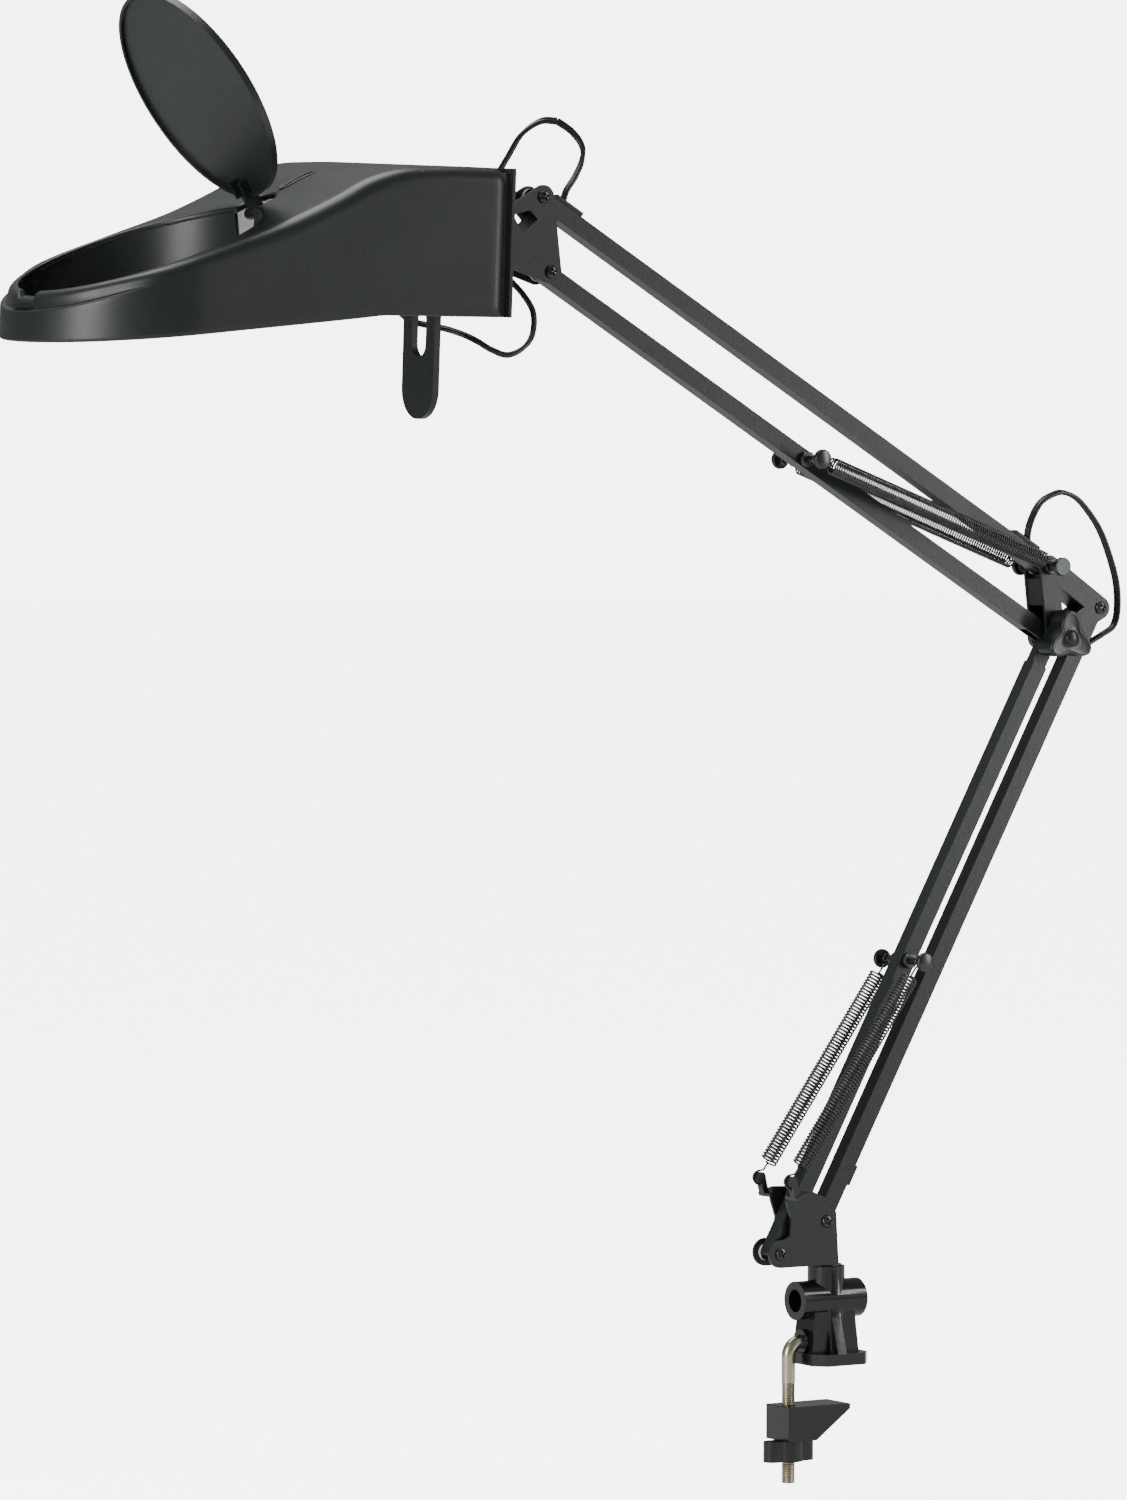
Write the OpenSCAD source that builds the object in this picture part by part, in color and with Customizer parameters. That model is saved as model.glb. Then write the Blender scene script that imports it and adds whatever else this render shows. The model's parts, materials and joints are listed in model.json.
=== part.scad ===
// Spring-balanced magnifying lamp: table clamp, two-part parallelogram arm and a shaded lens head.
// Origin: centre of the clamp plate's underside, on the swivel axis. +Z up, the head points along -X.

/* [Clamp] */
// Length of the clamp plate along X
plate_x = 38; // [34:1:44]
// Width of the clamp plate along Y
plate_y = 42; // [36:1:48]
// Thickness of the clamp plate
plate_t = 6.8; // [5:0.2:8]
// Height of the top of the swivel socket
socket_top = 56; // [54:0.5:56]
// Radius of the cross barrel's blind bores
barrel_bore_r = 6.5; // [5.5:0.1:7]
// Radius of the hook rod
rod_r = 4; // [3.5:0.1:4.2]
// Distance of the hook rod in front of the swivel axis
rod_x = 26; // [25:0.5:30]
// Gap between the clamp plate and the jaw
table_gap = 23; // [10:1:40]

/* [Arm] */
// Side of the square arm tubes
tube_w = 10; // [9:0.5:10]
// Wall of the square arm tubes
tube_wall = 1.2; // [1:0.1:1.6]
// Distance between pivots of the lower bars
lower_len = 400; // [300:5:500]
// Distance between pivots of the upper bars
upper_len = 404; // [300:5:500]
// Lean of the lower bars back from the vertical, in degrees
lower_lean = 28.8; // [24:0.2:34]
// Rise of the upper bars above the horizontal, in degrees
upper_rise = 30.8; // [26:0.2:36]
// Outside width over the brackets' side plates
bracket_w = 18; // [18:0.5:20]

/* [Springs] */
// Outside radius of the balance springs
spring_r = 5.2; // [4.5:0.1:5.6]
// Distance of the spring axes from the arm's middle plane
spring_y = 16.2; // [16:0.1:17]

/* [Head] */
// Width of the shade
head_w = 150; // [140:1:160]
// Height of the shade at the back
head_h = 81; // [76:1:86]
// Distance from the shade's back to the lens centre
ring_x = 188; // [180:1:196]
// Wall of the shade
shell_t = 2.5; // [2:0.1:3]
// Radius of the lens
lens_r = 64; // [62:0.5:64.5]
// Thickness of the lens at its middle
lens_t = 6; // [5:0.2:7]
// Roll of the head about its stem, in degrees
head_roll = 3.5; // [-8:0.5:8]
// Opening angle of the lid above the horizontal, in degrees
lid_open = 58; // [0:1:70]

/* [Hidden] */
$fn = 48;

// Running clearance of a shaft in its hole, and the radius of the pivot screws
run = 0.05;
screw_r = 2;
bolt_r = 3;
half_w = tube_w / 2;
side_out = bracket_w / 2;
side_in = side_out - 2;

// Pivots, as [x, z] in the arm's middle plane
lower_dir = [sin(lower_lean), cos(lower_lean)];
upper_dir = [-cos(upper_rise), sin(upper_rise)];
base_link = [31.65, 17.2];
elbow_link = [-4.8, 41.6];
p_base_front = [-37, 65];
p_base_rear = p_base_front + base_link;
p_knob = p_base_front + lower_len * lower_dir;
p_elbow_rear = p_knob + base_link;
p_elbow_top = p_knob + elbow_link;
p_head_low = p_knob + upper_len * upper_dir;
p_head_top = p_head_low + elbow_link;
p_tilt = p_head_low + [-38, 17];

// Ends of the springs, as [x, z]
p_hook = p_base_front + [1.5, 42];
p_lower_post = p_base_front + 0.47 * lower_len * lower_dir;
p_upper_post = p_knob + 0.5 * upper_len * upper_dir;

// Length of the nested ends where two bars share the knob's bolt
nest_len = 18;
tongue_half = 3.2;

// The head's own frame: x forward from the shade's back, z up from the bottom of its back
stem_gap = 28.5;
axis_z = head_h / 2;
head_back_x = p_tilt[0] - stem_gap;
lens_tilt = 5.9;
bottom_bend = 75;
lens_z = 6 - (ring_x - bottom_bend) * tan(lens_tilt);
bore_r = lens_r + 0.6;
hinge_x = 116;
hinge_z = 52;
side_profile = [
    [0, 81], [56, 81], [70, 79], [85, 74], [107, 63], [133, 51], [165, 40], [197, 28], [230, 15.4],
    [264, 3], [264, -19.5], [bottom_bend, 0], [0, 0]
];

// Routes of the flex, as [x, y, z]
elbow_route = [
    [142.6, 0, 468], [141, 0, 475], [144, 0, 485], [151, 0, 495], [162, 0, 500], [172, 0, 499],
    [182, 0, 493], [192, 0, 480], [199, 0, 466], [205, 0, 448], [206, 0, 432], [203, 0, 422],
    [195, 0, 417], [187, 0, 413]
];
lower_route = [
    [187, 0, 413], [180, 0, 409.5], [174.5, 0, 406.5], [171, 0, 401], [87, 0, 250], [18, 0, 124],
    [14, 0, 116], [13.5, 0, 110.5], [15, 0, 107.5]
];
upper_route = [
    [141.8, 0, 464.2], [140, 0, 463.8], [137, 0, 465], [130, 0, 469.5], [-30, 0, 565], [-165, 0, 645.5],
    [-174, 0, 652]
];
head_up_route = [
    [-175.2, 0, 653.2], [-180, 0, 658], [-176, 1, 668], [-168, 3, 677], [-162, 6, 686], [-160, 9, 694],
    [-164, 13, 702], [-172, 16, 708], [-182, 18, 707], [-193, 20, 698], [-201, 21, 688],
    [-208, 22, 676], [-211, 22, 664], [-212, 22, 652]
];
head_mid_route = [
    [-212.1, 22, 651.2], [-213, 22, 643], [-213, 21, 634], [-210, 18, 627], [-204, 14, 618]
];
head_low_route = [
    [-203.2, 13.4, 617], [-198, 10, 610], [-194, 6, 600], [-197, 2, 588], [-205, -1, 580],
    [-216, -2, 576], [-226, -1, 579], [-232, 2, 583], [-237, 9, 587], [-244, 17, 590.5],
    [-252, 23, 592.5], [-259, 27, 594.5], [-263.5, 31, 598], [-265, 37, 604], [-265, 43, 612], [-265, 48, 621]
];

// Draws its children, an outline in the XZ plane, from y0 to y1
module across(y0, y1) {
    translate([0, y1, 0]) rotate([90, 0, 0]) linear_extrude(y1 - y0) children();
}

// A round pin along Y at p, from y0 to y1
module pin(p, y0, y1, r) {
    translate([p[0], y0, p[1]]) rotate([-90, 0, 0]) cylinder(h = y1 - y0, r = r);
}

// A disc with a hole, along Y
module washer(p, y0, y1, r, hole) {
    difference() {
        pin(p, y0, y1, r);
        pin(p, y0 - 1, y1 + 1, hole);
    }
}

// Flat strip from p to q, half as wide as h each side, longer by e at each end
module strip(p, q, h, e = 0) {
    d = (q - p) / norm(q - p);
    n = [-d[1], d[0]];
    polygon([p - d * e + n * h, p - d * e - n * h, q + d * e - n * h, q + d * e + n * h]);
}

// Strip with round ends
module capsule(p, q, h) {
    strip(p, q, h);
    translate(p) circle(r = h);
    translate(q) circle(r = h);
}

// Pan-head screw along Y at p: head on the near side, with a cross recess
module pan_screw(p, length) {
    difference() {
        union() {
            pin(p, -side_out - 2, -side_out, 3.65);
            pin(p, -side_out - 0.5, -side_out + length, screw_r);
        }
        for (turn = [0, 90])
            translate([p[0], -side_out - 2, p[1]]) rotate([0, turn + 20, 0])
                cube([4, 2.4, 0.9], center = true);
    }
}

// Hexagon nut along Y at p
module hex_nut(p, y0, r, hole, h) {
    difference() {
        translate([p[0], y0, p[1]]) rotate([-90, 0, 0]) cylinder(h = h, r = r, $fn = 6);
        pin(p, y0 - 1, y0 + h + 1, hole);
    }
}

// Square tube between two pivots, cut square and open at both ends
module square_tube(p, q) {
    difference() {
        across(-half_w, half_w) strip(p, q, half_w, half_w - 0.2);
        across(tube_wall - half_w, half_w - tube_wall) strip(p, q, half_w - tube_wall, tube_w);
        pin(p, -tube_w, tube_w, screw_r + run);
        pin(q, -tube_w, tube_w, screw_r + run);
    }
}

// Ring of points of an oval section round c, square to direction d
function ring(c, d, w, h) =
    let (s = norm(cross(d, [0, 1, 0])) > 0.1 ? cross(d, [0, 1, 0]) : [1, 0, 0],
         u = s / norm(s), v = cross(d, u))
    [for (i = [0:7]) c + u * h * cos(45 * i) + v * w * sin(45 * i)];

function heading(path, i) =
    let (a = path[max(i - 1, 0)], b = path[min(i + 1, len(path) - 1)]) (b - a) / norm(b - a);

// Flat twin flex along a path
module flex(path) {
    n = len(path);
    pts = [for (i = [0:n - 1]) each ring(path[i], heading(path, i), 2.5, 1.6)];
    sides = [for (i = [0:n - 2], j = [0:7]) [i * 8 + j, (i + 1) * 8 + j, (i + 1) * 8 + (j + 1) % 8, i * 8 + (j + 1) % 8]];
    first = [for (j = [0:7]) j];
    last = [for (j = [7:-1:0]) (n - 1) * 8 + j];
    polyhedron(points = pts, faces = concat(sides, [first], [last]));
}

// ---------- table clamp ----------

module clamp_body() {
    rib = [[-plate_y / 2 + 2, 1], [-8, 34], [8, 34], [plate_y / 2 - 2, 1]];
    color("#15191a") difference() {
        union() {
            linear_extrude(plate_t) polygon([
                [-plate_x / 2, -plate_y / 2 + 7], [-plate_x / 2 + 6, -plate_y / 2], [plate_x / 2 - 6, -plate_y / 2],
                [plate_x / 2, -plate_y / 2 + 7], [plate_x / 2, plate_y / 2 - 7], [plate_x / 2 - 6, plate_y / 2],
                [-plate_x / 2 + 6, plate_y / 2], [-plate_x / 2, plate_y / 2 - 7]
            ]);
            hull() {
                translate([-16, -10, plate_t - 1]) cube([32, 20, 1]);
                translate([-13.5, -9, 32]) cube([27, 18, 1]);
            }
            translate([-3, 0, 0]) rotate([90, 0, 90]) linear_extrude(6) polygon(rib);
            translate([0, 0, plate_t]) cylinder(h = socket_top - plate_t, r = 10.75);
            translate([-21.5, 0, 36.5]) rotate([0, 90, 0]) cylinder(h = 43, r = 11.15);
            translate([-18, 0, 13]) rotate([0, 90, 0]) cylinder(h = 10, r = 7);
        }
        translate([0, 0, 16]) cylinder(h = 60, r = 7);
        translate([-22, 0, 36.5]) rotate([0, 90, 0]) cylinder(h = 12.5, r = barrel_bore_r);
        translate([9.5, 0, 36.5]) rotate([0, 90, 0]) cylinder(h = 12.5, r = barrel_bore_r);
        translate([-20, 0, 13]) rotate([0, 90, 0]) cylinder(h = 14, r = rod_r);
    }
}

module hook_rod() {
    bend = 8;
    color("#b9b3a0") {
        translate([-rod_x + bend, 0, 13]) rotate([0, 90, 0]) cylinder(h = rod_x - bend - 7.2, r = rod_r);
        translate([-rod_x + bend, 0, 13 - bend]) rotate([90, 0, 0]) rotate([0, 0, 90])
            rotate_extrude(angle = 90) translate([bend, 0]) circle(r = rod_r);
        translate([-rod_x, 0, -68]) cylinder(h = 68 + 13 - bend, r = rod_r);
    }
}

module swivel_bush() {
    color("#101213") difference() {
        union() {
            translate([0, 0, 16]) cylinder(h = 40, r = 7);
            translate([0, 0, socket_top]) cylinder(h = 0.5, r = 9);
        }
        translate([0, 0, 18]) cylinder(h = 60, r = 5 + run);
    }
}

module clamp_jaw() {
    color("#121516") difference() {
        across(-12, 12) polygon([[-rod_x - 7.5, -table_gap], [9, -table_gap], [9, -table_gap - 3],
            [-14, -table_gap - 20], [-rod_x - 7.5, -table_gap - 20]]);
        translate([-rod_x, 0, -100]) cylinder(h = 100, r = rod_r + run);
    }
}

module clamp_knob() {
    top = -table_gap - 20.2;
    color("#121516") difference() {
        translate([-rod_x, 0, top - 12]) union() {
            linear_extrude(12) {
                for (s = [-1, 1]) capsule([0, 0], [11 * s, 0], 5.2);
                circle(r = 8.6);
            }
        }
        translate([-rod_x, 0, top - 20]) cylinder(h = 30, r = rod_r + 0.3);
        translate([-rod_x, 0, top - 6]) cylinder(h = 10, r = 7, $fn = 6);
    }
}

module knob_nut() {
    top = -table_gap - 20.2;
    color("#9a9a92") difference() {
        translate([-rod_x, 0, top - 6]) cylinder(h = 6, r = 7, $fn = 6);
        translate([-rod_x, 0, top - 20]) cylinder(h = 30, r = rod_r + run);
    }
}

// ---------- base bracket ----------

module base_plate() {
    f = p_base_front;
    difference() {
        union() {
            polygon([f + [0, -8], [2.8, 57], [1, 87], [-2.2, 94.3], [-20.8, 102], [-32, 102.5], [-33.4, 95],
                [-30, 85], [-30.6, 75], f + [-5, 5]]);
            translate(f) circle(r = 8);
        }
    }
}

module base_bracket() {
    f = p_base_front;
    color("#2c3335") difference() {
        union() {
            for (s = [-1, 1]) {
                across(s * 8 - 1, s * 8 + 1) base_plate();
                across(s * 14 - 6, s * 14 + 6) polygon([[-33, 96], [-24, 99], [-25, 101], [-34, 98]]);
                across(s * spring_y - 2.6, s * spring_y + 2.6) difference() {
                    union() {
                        translate(p_hook) circle(r = 3.2);
                        polygon([[-33.5, 96.5], [-30, 97.5], p_hook + [3, 0], p_hook + [0, -3]]);
                    }
                }
            }
            translate([-24, -side_in, 57]) cube([26, 2 * side_in, 2]);
        }
        for (p = [f, p_base_rear]) pin(p, -20, 20, screw_r + run);
        for (s = [-1, 1]) washer(p_hook, s * spring_y - 0.8, s * spring_y + 0.8, 5.2, 3.2);
        cylinder(h = 70, r = 4.5);
    }
}

module swivel_spindle() {
    color("#8d8f8c") {
        translate([0, 0, 20]) cylinder(h = 36.7, r = 5);
        translate([0, 0, 56.6]) cylinder(h = 0.4, r = 9);
        translate([0, 0, 56]) cylinder(h = 4, r = 4.5);
        translate([0, 0, 59]) cylinder(h = 2, r = 6.5);
    }
}

module base_screws() {
    color("#3a3d3e") for (p = [p_base_front, p_base_rear]) pan_screw(p, bracket_w + 3.6);
}

module base_nuts() {
    color("#3a3d3e") for (p = [p_base_front, p_base_rear]) hex_nut(p, side_out, 3.9, screw_r, 3);
}

// Slippery spacers that keep a bar in the middle of its bracket
module spacers(points, hole) {
    for (p = points, s = [-1, 1])
        washer(p, s * 6 - 0.95, s * 6 + 0.95, 5, hole);
}

module base_washers() {
    color("#d8d6cc") spacers([p_base_front, p_base_rear], screw_r);
}

// ---------- lower bars ----------

// Ends of two bars that share the knob's bolt: a tongue on the lower bar, a fork on the upper one
module lower_front_bar() {
    d = lower_dir;
    neck = p_knob - d * nest_len;
    color("#2a3133") difference() {
        union() {
            difference() {
                across(-half_w, half_w) {
                    capsule(p_base_front, p_base_front + d * 10, half_w);
                    strip(p_base_front, neck, half_w);
                }
                across(tube_wall - half_w, half_w - tube_wall) strip(p_base_front, neck - d * 4, half_w - tube_wall, tube_w);
            }
            across(-tongue_half, tongue_half) capsule(neck - d * 6, p_knob, half_w);
        }
        pin(p_base_front, -tube_w, tube_w, screw_r + run);
        pin(p_knob, -tube_w, tube_w, bolt_r + run);
        pin(p_lower_post, -tube_w, tube_w, 2);
    }
}

module post(p, reach) {
    pin(p, -reach + 1, reach - 1, 2);
    for (s = [-1, 1]) {
        pin(p, s * (reach - 1.5) - 1.5, s * (reach - 1.5) + 1.5, 5.6);
        pin(p, s * (half_w + 1.6) - 1.5, s * (half_w + 1.6) + 1.5, 4.4);
    }
}

module lower_spring_post() {
    color("#1b1f20") post(p_lower_post, 23.5);
}

module lower_rear_bar() {
    d = lower_dir;
    n = [d[1], -d[0]];
    color("#2a3133") difference() {
        square_tube(p_base_rear, p_elbow_rear);
        for (s = [32, lower_len - 24])
            across(-3.2, 3.2) strip(p_base_rear + d * (s - 5) + n * half_w, p_base_rear + d * (s + 5) + n * half_w, 2.4);
    }
}

module flex_grommet() {
    d = lower_dir;
    n = [d[1], -d[0]];
    c = p_base_rear + d * 32 + n * half_w;
    color("#0e1011") difference() {
        union() {
            across(-3.1, 3.1) strip(c - d * 4.9 - n * 0.7, c + d * 4.9 - n * 0.7, 0.5);
            across(-4.4, 4.4) strip(c - d * 6.2 + n * 1, c + d * 6.2 + n * 1, 1);
            across(-3.1, 3.1) strip(c - d * 4.9, c + d * 4.9, 1);
        }
        across(-2.6, 2.6) strip(c - d * 1.8, c + d * 1.8, 6);
    }
}

module lower_flex() {
    color("#0c0d0e") flex(lower_route);
}

// ---------- springs ----------

module spring_tube(p, q, gap0, gap1) {
    d = (q - p) / norm(q - p);
    a = p + d * gap0;
    l = norm(q - p) - gap0 - gap1;
    for (s = [-1, 1])
        translate([a[0], s * spring_y, a[1]]) rotate([0, 90 - atan2(d[1], d[0]), 0])
            difference() {
                cylinder(h = l, r = spring_r);
                translate([0, 0, -1]) cylinder(h = l + 2, r = spring_r - 1);
            }
}

// Wire eyes round a pin at q, joined to the end of the coils
module spring_eyes(p, q, r) {
    d = (q - p) / norm(q - p);
    for (s = [-1, 1]) {
        washer(q, s * spring_y - 0.5, s * spring_y + 0.5, r + 1, r);
        across(s * spring_y - 0.5, s * spring_y + 0.5) strip(q - d * (r + 0.4), q - d * 12, 0.5);
    }
}

module lower_springs() {
    color("#6f7675") {
        spring_tube(p_hook, p_lower_post, 10, 10);
        spring_eyes(p_lower_post, p_hook, 3.5);
    }
}

module lower_spring_eyes() {
    color("#6f7675") spring_eyes(p_hook, p_lower_post, 2.3);
}

module upper_springs() {
    color("#6f7675") {
        spring_tube(p_elbow_top, p_upper_post, 10, 10);
        spring_eyes(p_upper_post, p_elbow_top, 2.8);
    }
}

module upper_spring_eyes() {
    color("#6f7675") spring_eyes(p_elbow_top, p_upper_post, 2.3);
}

// ---------- elbow ----------

function triangle_inset(d) =
    let (a = p_elbow_top, b = p_elbow_rear, c = p_knob,
         la = norm(b - c), lb = norm(c - a), lc = norm(a - b),
         i = (la * a + lb * b + lc * c) / (la + lb + lc),
         s = (la + lb + lc) / 2,
         r = sqrt((s - la) * (s - lb) * (s - lc) / s))
    [for (p = [a, b, c]) p + (i - p) * d / r];

module elbow_bracket() {
    hole = triangle_inset(6);
    lip = triangle_inset(4.6);
    color("#2c3335") difference() {
        union() {
            for (s = [-1, 1]) across(s * 8 - 1, s * 8 + 1) {
                capsule(p_elbow_top, p_elbow_rear, 6.6);
                capsule(p_elbow_rear, p_knob, 6.6);
                capsule(p_knob, p_elbow_top, 6.6);
            }
            across(-side_in, side_in) polygon(lip);
            across(-side_out, side_out) strip(p_knob + [-7.4, 19], p_knob + [-9, 34.5], 1.1);
        }
        across(-20, 20) polygon(hole);
        pin(p_elbow_rear, -20, 20, screw_r + run);
        pin(p_elbow_top, -20, 20, 2.5);
        pin(p_knob, -20, 20, bolt_r);
    }
}

module elbow_bolts() {
    color("#3a3d3e") {
        pan_screw(p_elbow_rear, bracket_w + 3.6);
        pin(p_knob, -23, side_out + 1, bolt_r);
        pin(p_knob, side_out, side_out + 3, 6.5);
    }
}

module elbow_nut() {
    color("#3a3d3e") hex_nut(p_elbow_rear, side_out, 3.9, screw_r, 3);
}

module elbow_washers() {
    color("#d8d6cc") {
        spacers([p_elbow_rear], screw_r);
        spacers([p_knob], bolt_r);
        spacers([p_elbow_top], 2.5);
    }
}

module spring_pin() {
    color("#1b1f20") {
        pin(p_elbow_top, -22.5, 22.5, 2.5);
        for (s = [-1, 1]) {
            pin(p_elbow_top, s * 21 - 1.5, s * 21 + 1.5, 5.4);
            pin(p_elbow_top, s * 10.6 - 1.4, s * 10.6 + 1.4, 4.6);
        }
    }
}

module elbow_steel_washer() {
    color("#a9aca8") washer(p_knob, -side_out - 1.2, -side_out, 8, bolt_r);
}

module elbow_knob() {
    y0 = -side_out - 1.3;
    color("#1b1f20") difference() {
        union() {
            across(y0 - 14, y0) {
                for (i = [0:2]) translate(p_knob) rotate(120 * i + 90) strip([0, 0], [11, 0], 5.4);
                for (i = [0:2]) translate(p_knob + 11 * [cos(120 * i + 90), sin(120 * i + 90)]) circle(r = 5.4);
                translate(p_knob) circle(r = 10.5);
            }
            pin(p_knob, y0 - 16, y0, 4);
        }
        pin(p_knob, y0 - 13, y0 + 1, bolt_r + run);
    }
}

module elbow_flex_loop() {
    color("#0c0d0e") flex(elbow_route);
}

// ---------- upper bars ----------

module upper_top_bar() {
    d = upper_dir;
    n = [-d[1], d[0]] * -1;
    color("#2a3133") difference() {
        across(-half_w, half_w) capsule(p_elbow_top, p_head_top, half_w);
        across(tube_wall - half_w, half_w - tube_wall) strip(p_elbow_top, p_head_top, half_w - tube_wall, tube_w);
        pin(p_elbow_top, -tube_w, tube_w, 2.5 + run);
        pin(p_head_top, -tube_w, tube_w, screw_r + run);
        for (s = [14, upper_len - 20])
            across(-3.2, 3.2) strip(p_elbow_top + d * (s - 6) + n * half_w, p_elbow_top + d * (s + 6) + n * half_w, 2.4);
    }
}

// Low plastic covers over the two places where the flex leaves the bar
module flex_clips() {
    d = upper_dir;
    n = [-d[1], d[0]] * -1;
    color("#101213") for (s = [19, upper_len - 19])
        difference() {
            across(-half_w, half_w)
                strip(p_elbow_top + d * (s - 10) + n * 6.4, p_elbow_top + d * (s + 10) + n * 6.4, 1.4);
            across(-3.3, 3.3)
                strip(p_elbow_top + d * (s - 9) + n * 6, p_elbow_top + d * (s + 9) + n * 6, 3);
        }
}

module upper_flex() {
    color("#0c0d0e") flex(upper_route);
}

module upper_lower_bar() {
    d = upper_dir;
    neck = p_knob + d * nest_len;
    color("#2a3133") difference() {
        across(-half_w, half_w) capsule(p_knob, p_head_low, half_w);
        across(tube_wall - half_w, half_w - tube_wall) strip(p_knob, p_head_low, half_w - tube_wall, tube_w);
        across(tube_wall - half_w, half_w - tube_wall) strip(p_knob - d * 8, neck, half_w + 1);
        pin(p_knob, -tube_w, tube_w, bolt_r + run);
        pin(p_head_low, -tube_w, tube_w, screw_r + run);
        pin(p_upper_post, -tube_w, tube_w, 2);
    }
}

module upper_spring_post() {
    color("#1b1f20") post(p_upper_post, 23.5);
}

// ---------- head bracket ----------

module head_plate(y0) {
    difference() {
        across(y0, y0 + 2) hull() {
            translate(p_head_low) circle(r = 6.8, $fn = 32);
            translate(p_head_top) circle(r = 6.8, $fn = 32);
            translate(p_tilt) circle(r = 11, $fn = 32);
        }
        across(y0 - 1, y0 + 3) polygon([p_tilt + [13, 14], p_tilt + [24, 17], p_tilt + [29, 12], p_tilt + [20, 4]]);
        for (p = [p_head_low, p_head_top]) pin(p, -20, 20, screw_r + run);
        pin(p_tilt, -20, 20, bolt_r);
    }
}

module head_bracket_near() {
    color("#2c3335") head_plate(-side_out);
}

module head_bracket_far() {
    color("#2c3335") head_plate(side_in);
}

module head_screws() {
    color("#3a3d3e") for (p = [p_head_low, p_head_top]) pan_screw(p, bracket_w + 3.6);
}

module head_nuts() {
    color("#3a3d3e") for (p = [p_head_low, p_head_top]) hex_nut(p, side_out, 3.9, screw_r, 3);
}

module head_washers() {
    color("#d8d6cc") spacers([p_head_low, p_head_top], screw_r);
}

module tilt_bolt() {
    color("#3a3d3e") {
        pin(p_tilt, -side_out - 1, 22, bolt_r);
        pin(p_tilt, -side_out - 3, -side_out, 5.5);
    }
}

module tilt_knob() {
    color("#1b1f20") difference() {
        union() {
            pin(p_tilt, side_out + 0.3, 24, 6);
            across(14, 22) capsule(p_tilt - [9, 0], p_tilt + [9, 0], 3.6);
        }
        pin(p_tilt, side_out - 1, 22.5, bolt_r + run);
    }
}

module head_flex_upper() {
    color("#0c0d0e") flex(head_up_route);
}

module head_flex_middle() {
    color("#0c0d0e") flex(head_mid_route);
}

module head_flex_lower() {
    color("#0c0d0e") flex(head_low_route);
}

// Cast knuckle: tilts on the bolt and carries the head's stem in a socket
module knuckle() {
    color("#8b8880") difference() {
        union() {
            pin(p_tilt, -6.9, 6.9, 10.5);
            translate([p_tilt[0] - 13, -6.9, p_tilt[1] - 8]) cube([13, 13.8, 16]);
            translate([p_tilt[0] - 14.2, 0, p_tilt[1]]) rotate([0, 90, 0]) cylinder(h = 2.6, r = 9.5);
        }
        pin(p_tilt, -20, 20, bolt_r + run);
        translate([p_tilt[0] - 20, 0, p_tilt[1]]) rotate([0, 90, 0]) cylinder(h = 15.6, r = 5 + run);
    }
}

// ---------- head ----------

// Puts its children from the head's own frame into the lamp's frame
module head_place() {
    translate([head_back_x, 0, p_tilt[1]]) rotate([head_roll, 0, 0]) rotate([0, 0, 180])
        translate([0, 0, -axis_z]) children();
}

module plan(inset, x0) {
    translate([x0, -head_w / 2 + inset]) square([ring_x - x0, head_w - 2 * inset]);
    translate([ring_x, 0]) circle(r = head_w / 2 - inset);
}

// The shade's block, its walls moved in by inset and its top moved down by drop
module head_block(inset, x0, drop, below) {
    top = [for (i = [0:9]) [side_profile[i][0], min(side_profile[i][1], head_h) - drop]];
    foot = below > 0 ? [[264, -19.5 - below], [0, -below]] : [[264, -19.5], [bottom_bend, 0], [0, 0]];
    intersection() {
        translate([0, 0, -60]) linear_extrude(160) plan(inset, x0);
        across(-head_w, head_w) polygon(concat(top, foot));
    }
}

// A cylinder on the lens axis, from a to b along it
module lens_axis(r, a, b) {
    translate([ring_x, 0, lens_z]) rotate([0, lens_tilt, 0]) translate([0, 0, a]) cylinder(h = b - a, r = r);
}

// The upright well above the lens, that takes the closed lid
module lid_well(r, z) {
    translate([ring_x + 0.5, 0, z]) cylinder(h = 100, r = r);
}

module shade() {
    color("#2b3133") head_place() difference() {
        union() {
            difference() {
                head_block(0, 0, 0, 0);
                head_block(shell_t, -1, shell_t, 40);
            }
            intersection() {
                head_block(0.5, 0, 0.5, 0);
                union() {
                    lens_axis(bore_r + 2.6, -20, 14);
                    lid_well(bore_r + 2.9, 4);
                }
            }
            for (s = [-1, 1]) translate([hinge_x - 7, s * 12 - 1.5, hinge_z - 5]) cube([14, 3, 9]);
        }
        lid_well(bore_r + 0.3, 10);
        translate([ring_x + 60, -9, 1]) cube([9, 18, 30]);
        difference() {
            lens_axis(bore_r, -20, 36);
            difference() {
                lens_axis(bore_r + 1, lens_t / 2 + 0.2, lens_t / 2 + 2.2);
                lens_axis(lens_r - 3, lens_t / 2 - 1, lens_t / 2 + 4);
            }
        }
        translate([hinge_x - 7, -10.4, 40]) cube([16, 20.8, 50]);
        translate([hinge_x, -20, hinge_z]) rotate([-90, 0, 0]) cylinder(h = 40, r = 1.5);
    }
}

module back_cover() {
    inner = shell_t + 0.2;
    color("#2b3133") head_place() difference() {
        union() {
            translate([-2, -head_w / 2, 0]) cube([2, head_w, head_h]);
            difference() {
                translate([-0.5, -head_w / 2 + inner, 0]) cube([8.5, head_w - 2 * inner, head_h - inner]);
                translate([-1, -head_w / 2 + inner + 2, -1]) cube([20, head_w - 2 * inner - 4, head_h - inner - 1]);
            }
            for (s = [-1, 1]) translate([-0.5, s * 9 - 4, 0.4]) cube([8.5, 8, 14]);
        }
        translate([-10, 0, axis_z]) rotate([0, 90, 0]) cylinder(h = 30, r = 3);
        translate([-10, -57, axis_z - 7]) cube([20, 14, 20]);
        for (s = [-1, 1]) translate([-10, s * 9, 8]) rotate([0, 90, 0]) cylinder(h = 30, r = 1.5);
    }
}

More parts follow.
